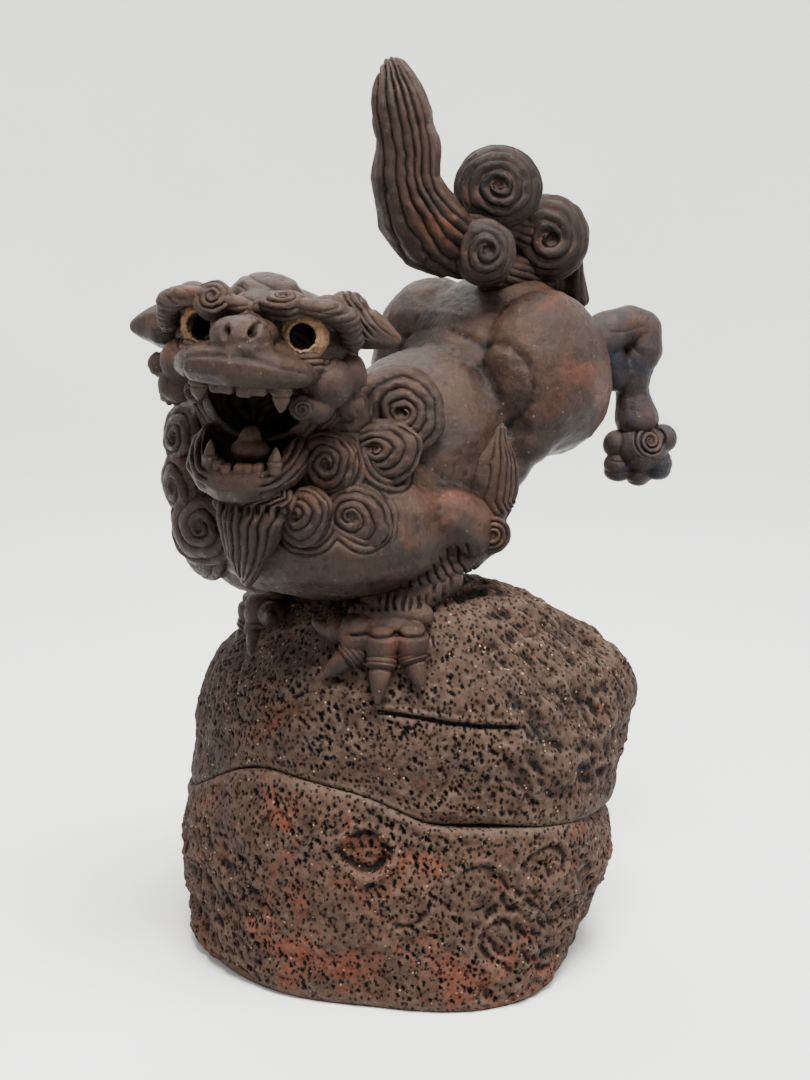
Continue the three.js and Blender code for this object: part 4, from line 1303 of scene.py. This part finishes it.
def thumb_shaped(p):
    """The plume's blunt, rounded end."""
    rightwards = unit([1, 1, 0])
    levels = np.linspace(p[:, 2].min(), p[:, 2].max(), 40)
    middles = []
    for level in levels:
        near = p[np.abs(p[:, 2] - level) < 1.6]
        middles.append(middle_of_box(near)[:2])
    middle = np.stack([np.interp(p[:, 2], levels, [m[k] for m in middles]) for k in range(2)], axis=1)
    width, shift = (np.interp(p[:, 2], PLUME[:, 0], PLUME[:, k]) for k in (1, 2))
    out = p.copy()
    out[:, :2] = middle + (p[:, :2] - middle) * width[:, None] + np.outer(shift, rightwards[:2])
    return out


# The tail's root, as (x, y, z, radius)
TAIL_BASE = [(7, 37, 253, 6.5), (5, 53, 252, 7.5), (3, 66, 249, 7.5), (4, 76, 246, 6.5), (7, 82, 241, 4.5)]
TAIL_CORE = [(4.0, 46.0, 269.0, 8.5), (5.0, 57.0, 266.0, 8.0), (3.5, 35.0, 269.0, 8.0)]
TAIL_STRAND = [(13, 72, 264, 3.4), (12, 77, 257, 3.9), (10.5, 81, 249, 4.0), (13, 82, 240, 3.6)]


def make_tail():
    def plume(p, n):
        tip = np.array([*(p[np.argmax(p[:, 2])][:2]), p[:, 2].max()]) - [1.6, 1.6, 0]
        return combed(p, tip, 7.5, 2.1, 0.5, seed=4, smooth_from=0.55) + 0.25 * noise(p, 3.5, 77)

    clay(["tail_plume"], 0.65, 8, plume, HAIR, swell=0.7, move=thumb_shaped)
    snail_ball("tail_curl_upper", 5.6, 2.5, start=0.2)
    snail_ball("tail_curl_rear", 4.8, 2.3, start=0.6, grow=1.12, shift=(1.0, -0.6, -1.6))
    snail_ball("tail_curl_lower", 4.0, 1.9, start=0.4, grow=1.36, shift=(0.4, -0.6, 0.4))

    def root(p, n):
        lengthwise = np.where(p[:, 1] > 70, p[:, 1] / 3.2, p[:, 2] / 3.4 + 0.09 * p[:, 1])
        return handled(p, 1.0, 78) + 0.8 * ridges(lengthwise + 0.3 * noise(p, 8, 79), 0.6)

    base, strand = limb(TAIL_BASE), limb(TAIL_STRAND)
    core = [lump([x, y, z], [radius] * 3) for x, y, z, radius in TAIL_CORE]
    clay(["tail_root"], 0.6, 4, root, HAIR, shapes=[*base, *core, *strand])


# ---- the studio --------------------
def make_studio():
    scene = bpy.context.scene
    bend, reach, top = 0.6, 1.0, 1.9  # in metres: a pale sheet that curves up all round, like a light tent
    profile = [(reach * k / 8, 0.0) for k in range(1, 9)]
    turns = [math.radians(6 * k) for k in range(1, 16)]
    profile += [(reach + bend * math.sin(t), bend - bend * math.cos(t)) for t in turns]
    profile += [(reach + bend, top)]
    around = [compass(math.radians(5 * k)) for k in range(72)]
    rows = [np.array([way * r + [0, 0, z] for way in around]) / MM for r, z in profile]
    points, faces = skin_of(rows)
    floor = new_object("studio_floor", points, faces[:-len(around)])
    floor.data.shade_smooth()
    s = Shader("studio_floor")
    tone = s.ranged(s.noise(400, 3), 0.3, 0.7, 0.58, 0.62)
    floor.data.materials.append(s.set(Base_Color=s.grey(tone), Roughness=0.7))

    world = bpy.data.worlds.new("studio")
    world.use_nodes = True
    background = world.node_tree.nodes["Background"]
    background.inputs["Color"].default_value = (1.0, 0.985, 0.965, 1)
    background.inputs["Strength"].default_value = 0.07
    scene.world = world

    def area(name, azimuth, elevation, distance, size, power, tint):
        data = bpy.data.lights.new(name, "AREA")
        data.size, data.energy, data.color = size, power, tint
        aim(bpy.data.objects.new(name, data), azimuth, elevation, distance, Vector((0, 0, 0.17)))

    area("key_light", 60, 68, 1.2, 0.5, 86, (1.0, 0.98, 0.95))
    area("side_light", 120, 45, 1.4, 0.6, 12, (0.95, 0.97, 1.0))
    area("back_light", 235, 55, 1.5, 0.9, 30, (1.0, 0.98, 0.95))

    camera = bpy.data.objects.new("camera", bpy.data.cameras.new("camera"))
    camera.data.lens = 61.1
    camera.data.sensor_width = 36
    aim(camera, 45, 15, 0.680, Vector((0, 0, 0.157)))
    scene.camera = camera


def aim(obj, azimuth, elevation, distance, target):
    """Sets a lamp or camera at a direction (degrees) and distance (m) from its target, facing it."""
    a, e = math.radians(azimuth), math.radians(elevation)
    back = Vector((math.sin(a) * math.cos(e), -math.cos(a) * math.cos(e), math.sin(e)))
    obj.location = target + back * distance
    obj.rotation_euler = (-back).to_track_quat("-Z", "Y").to_euler()
    bpy.context.scene.collection.objects.link(obj)


make_studio()
rock_base()
rock_lid()
make_trunk()
make_head()
make_mane()
make_legs()
make_tail()
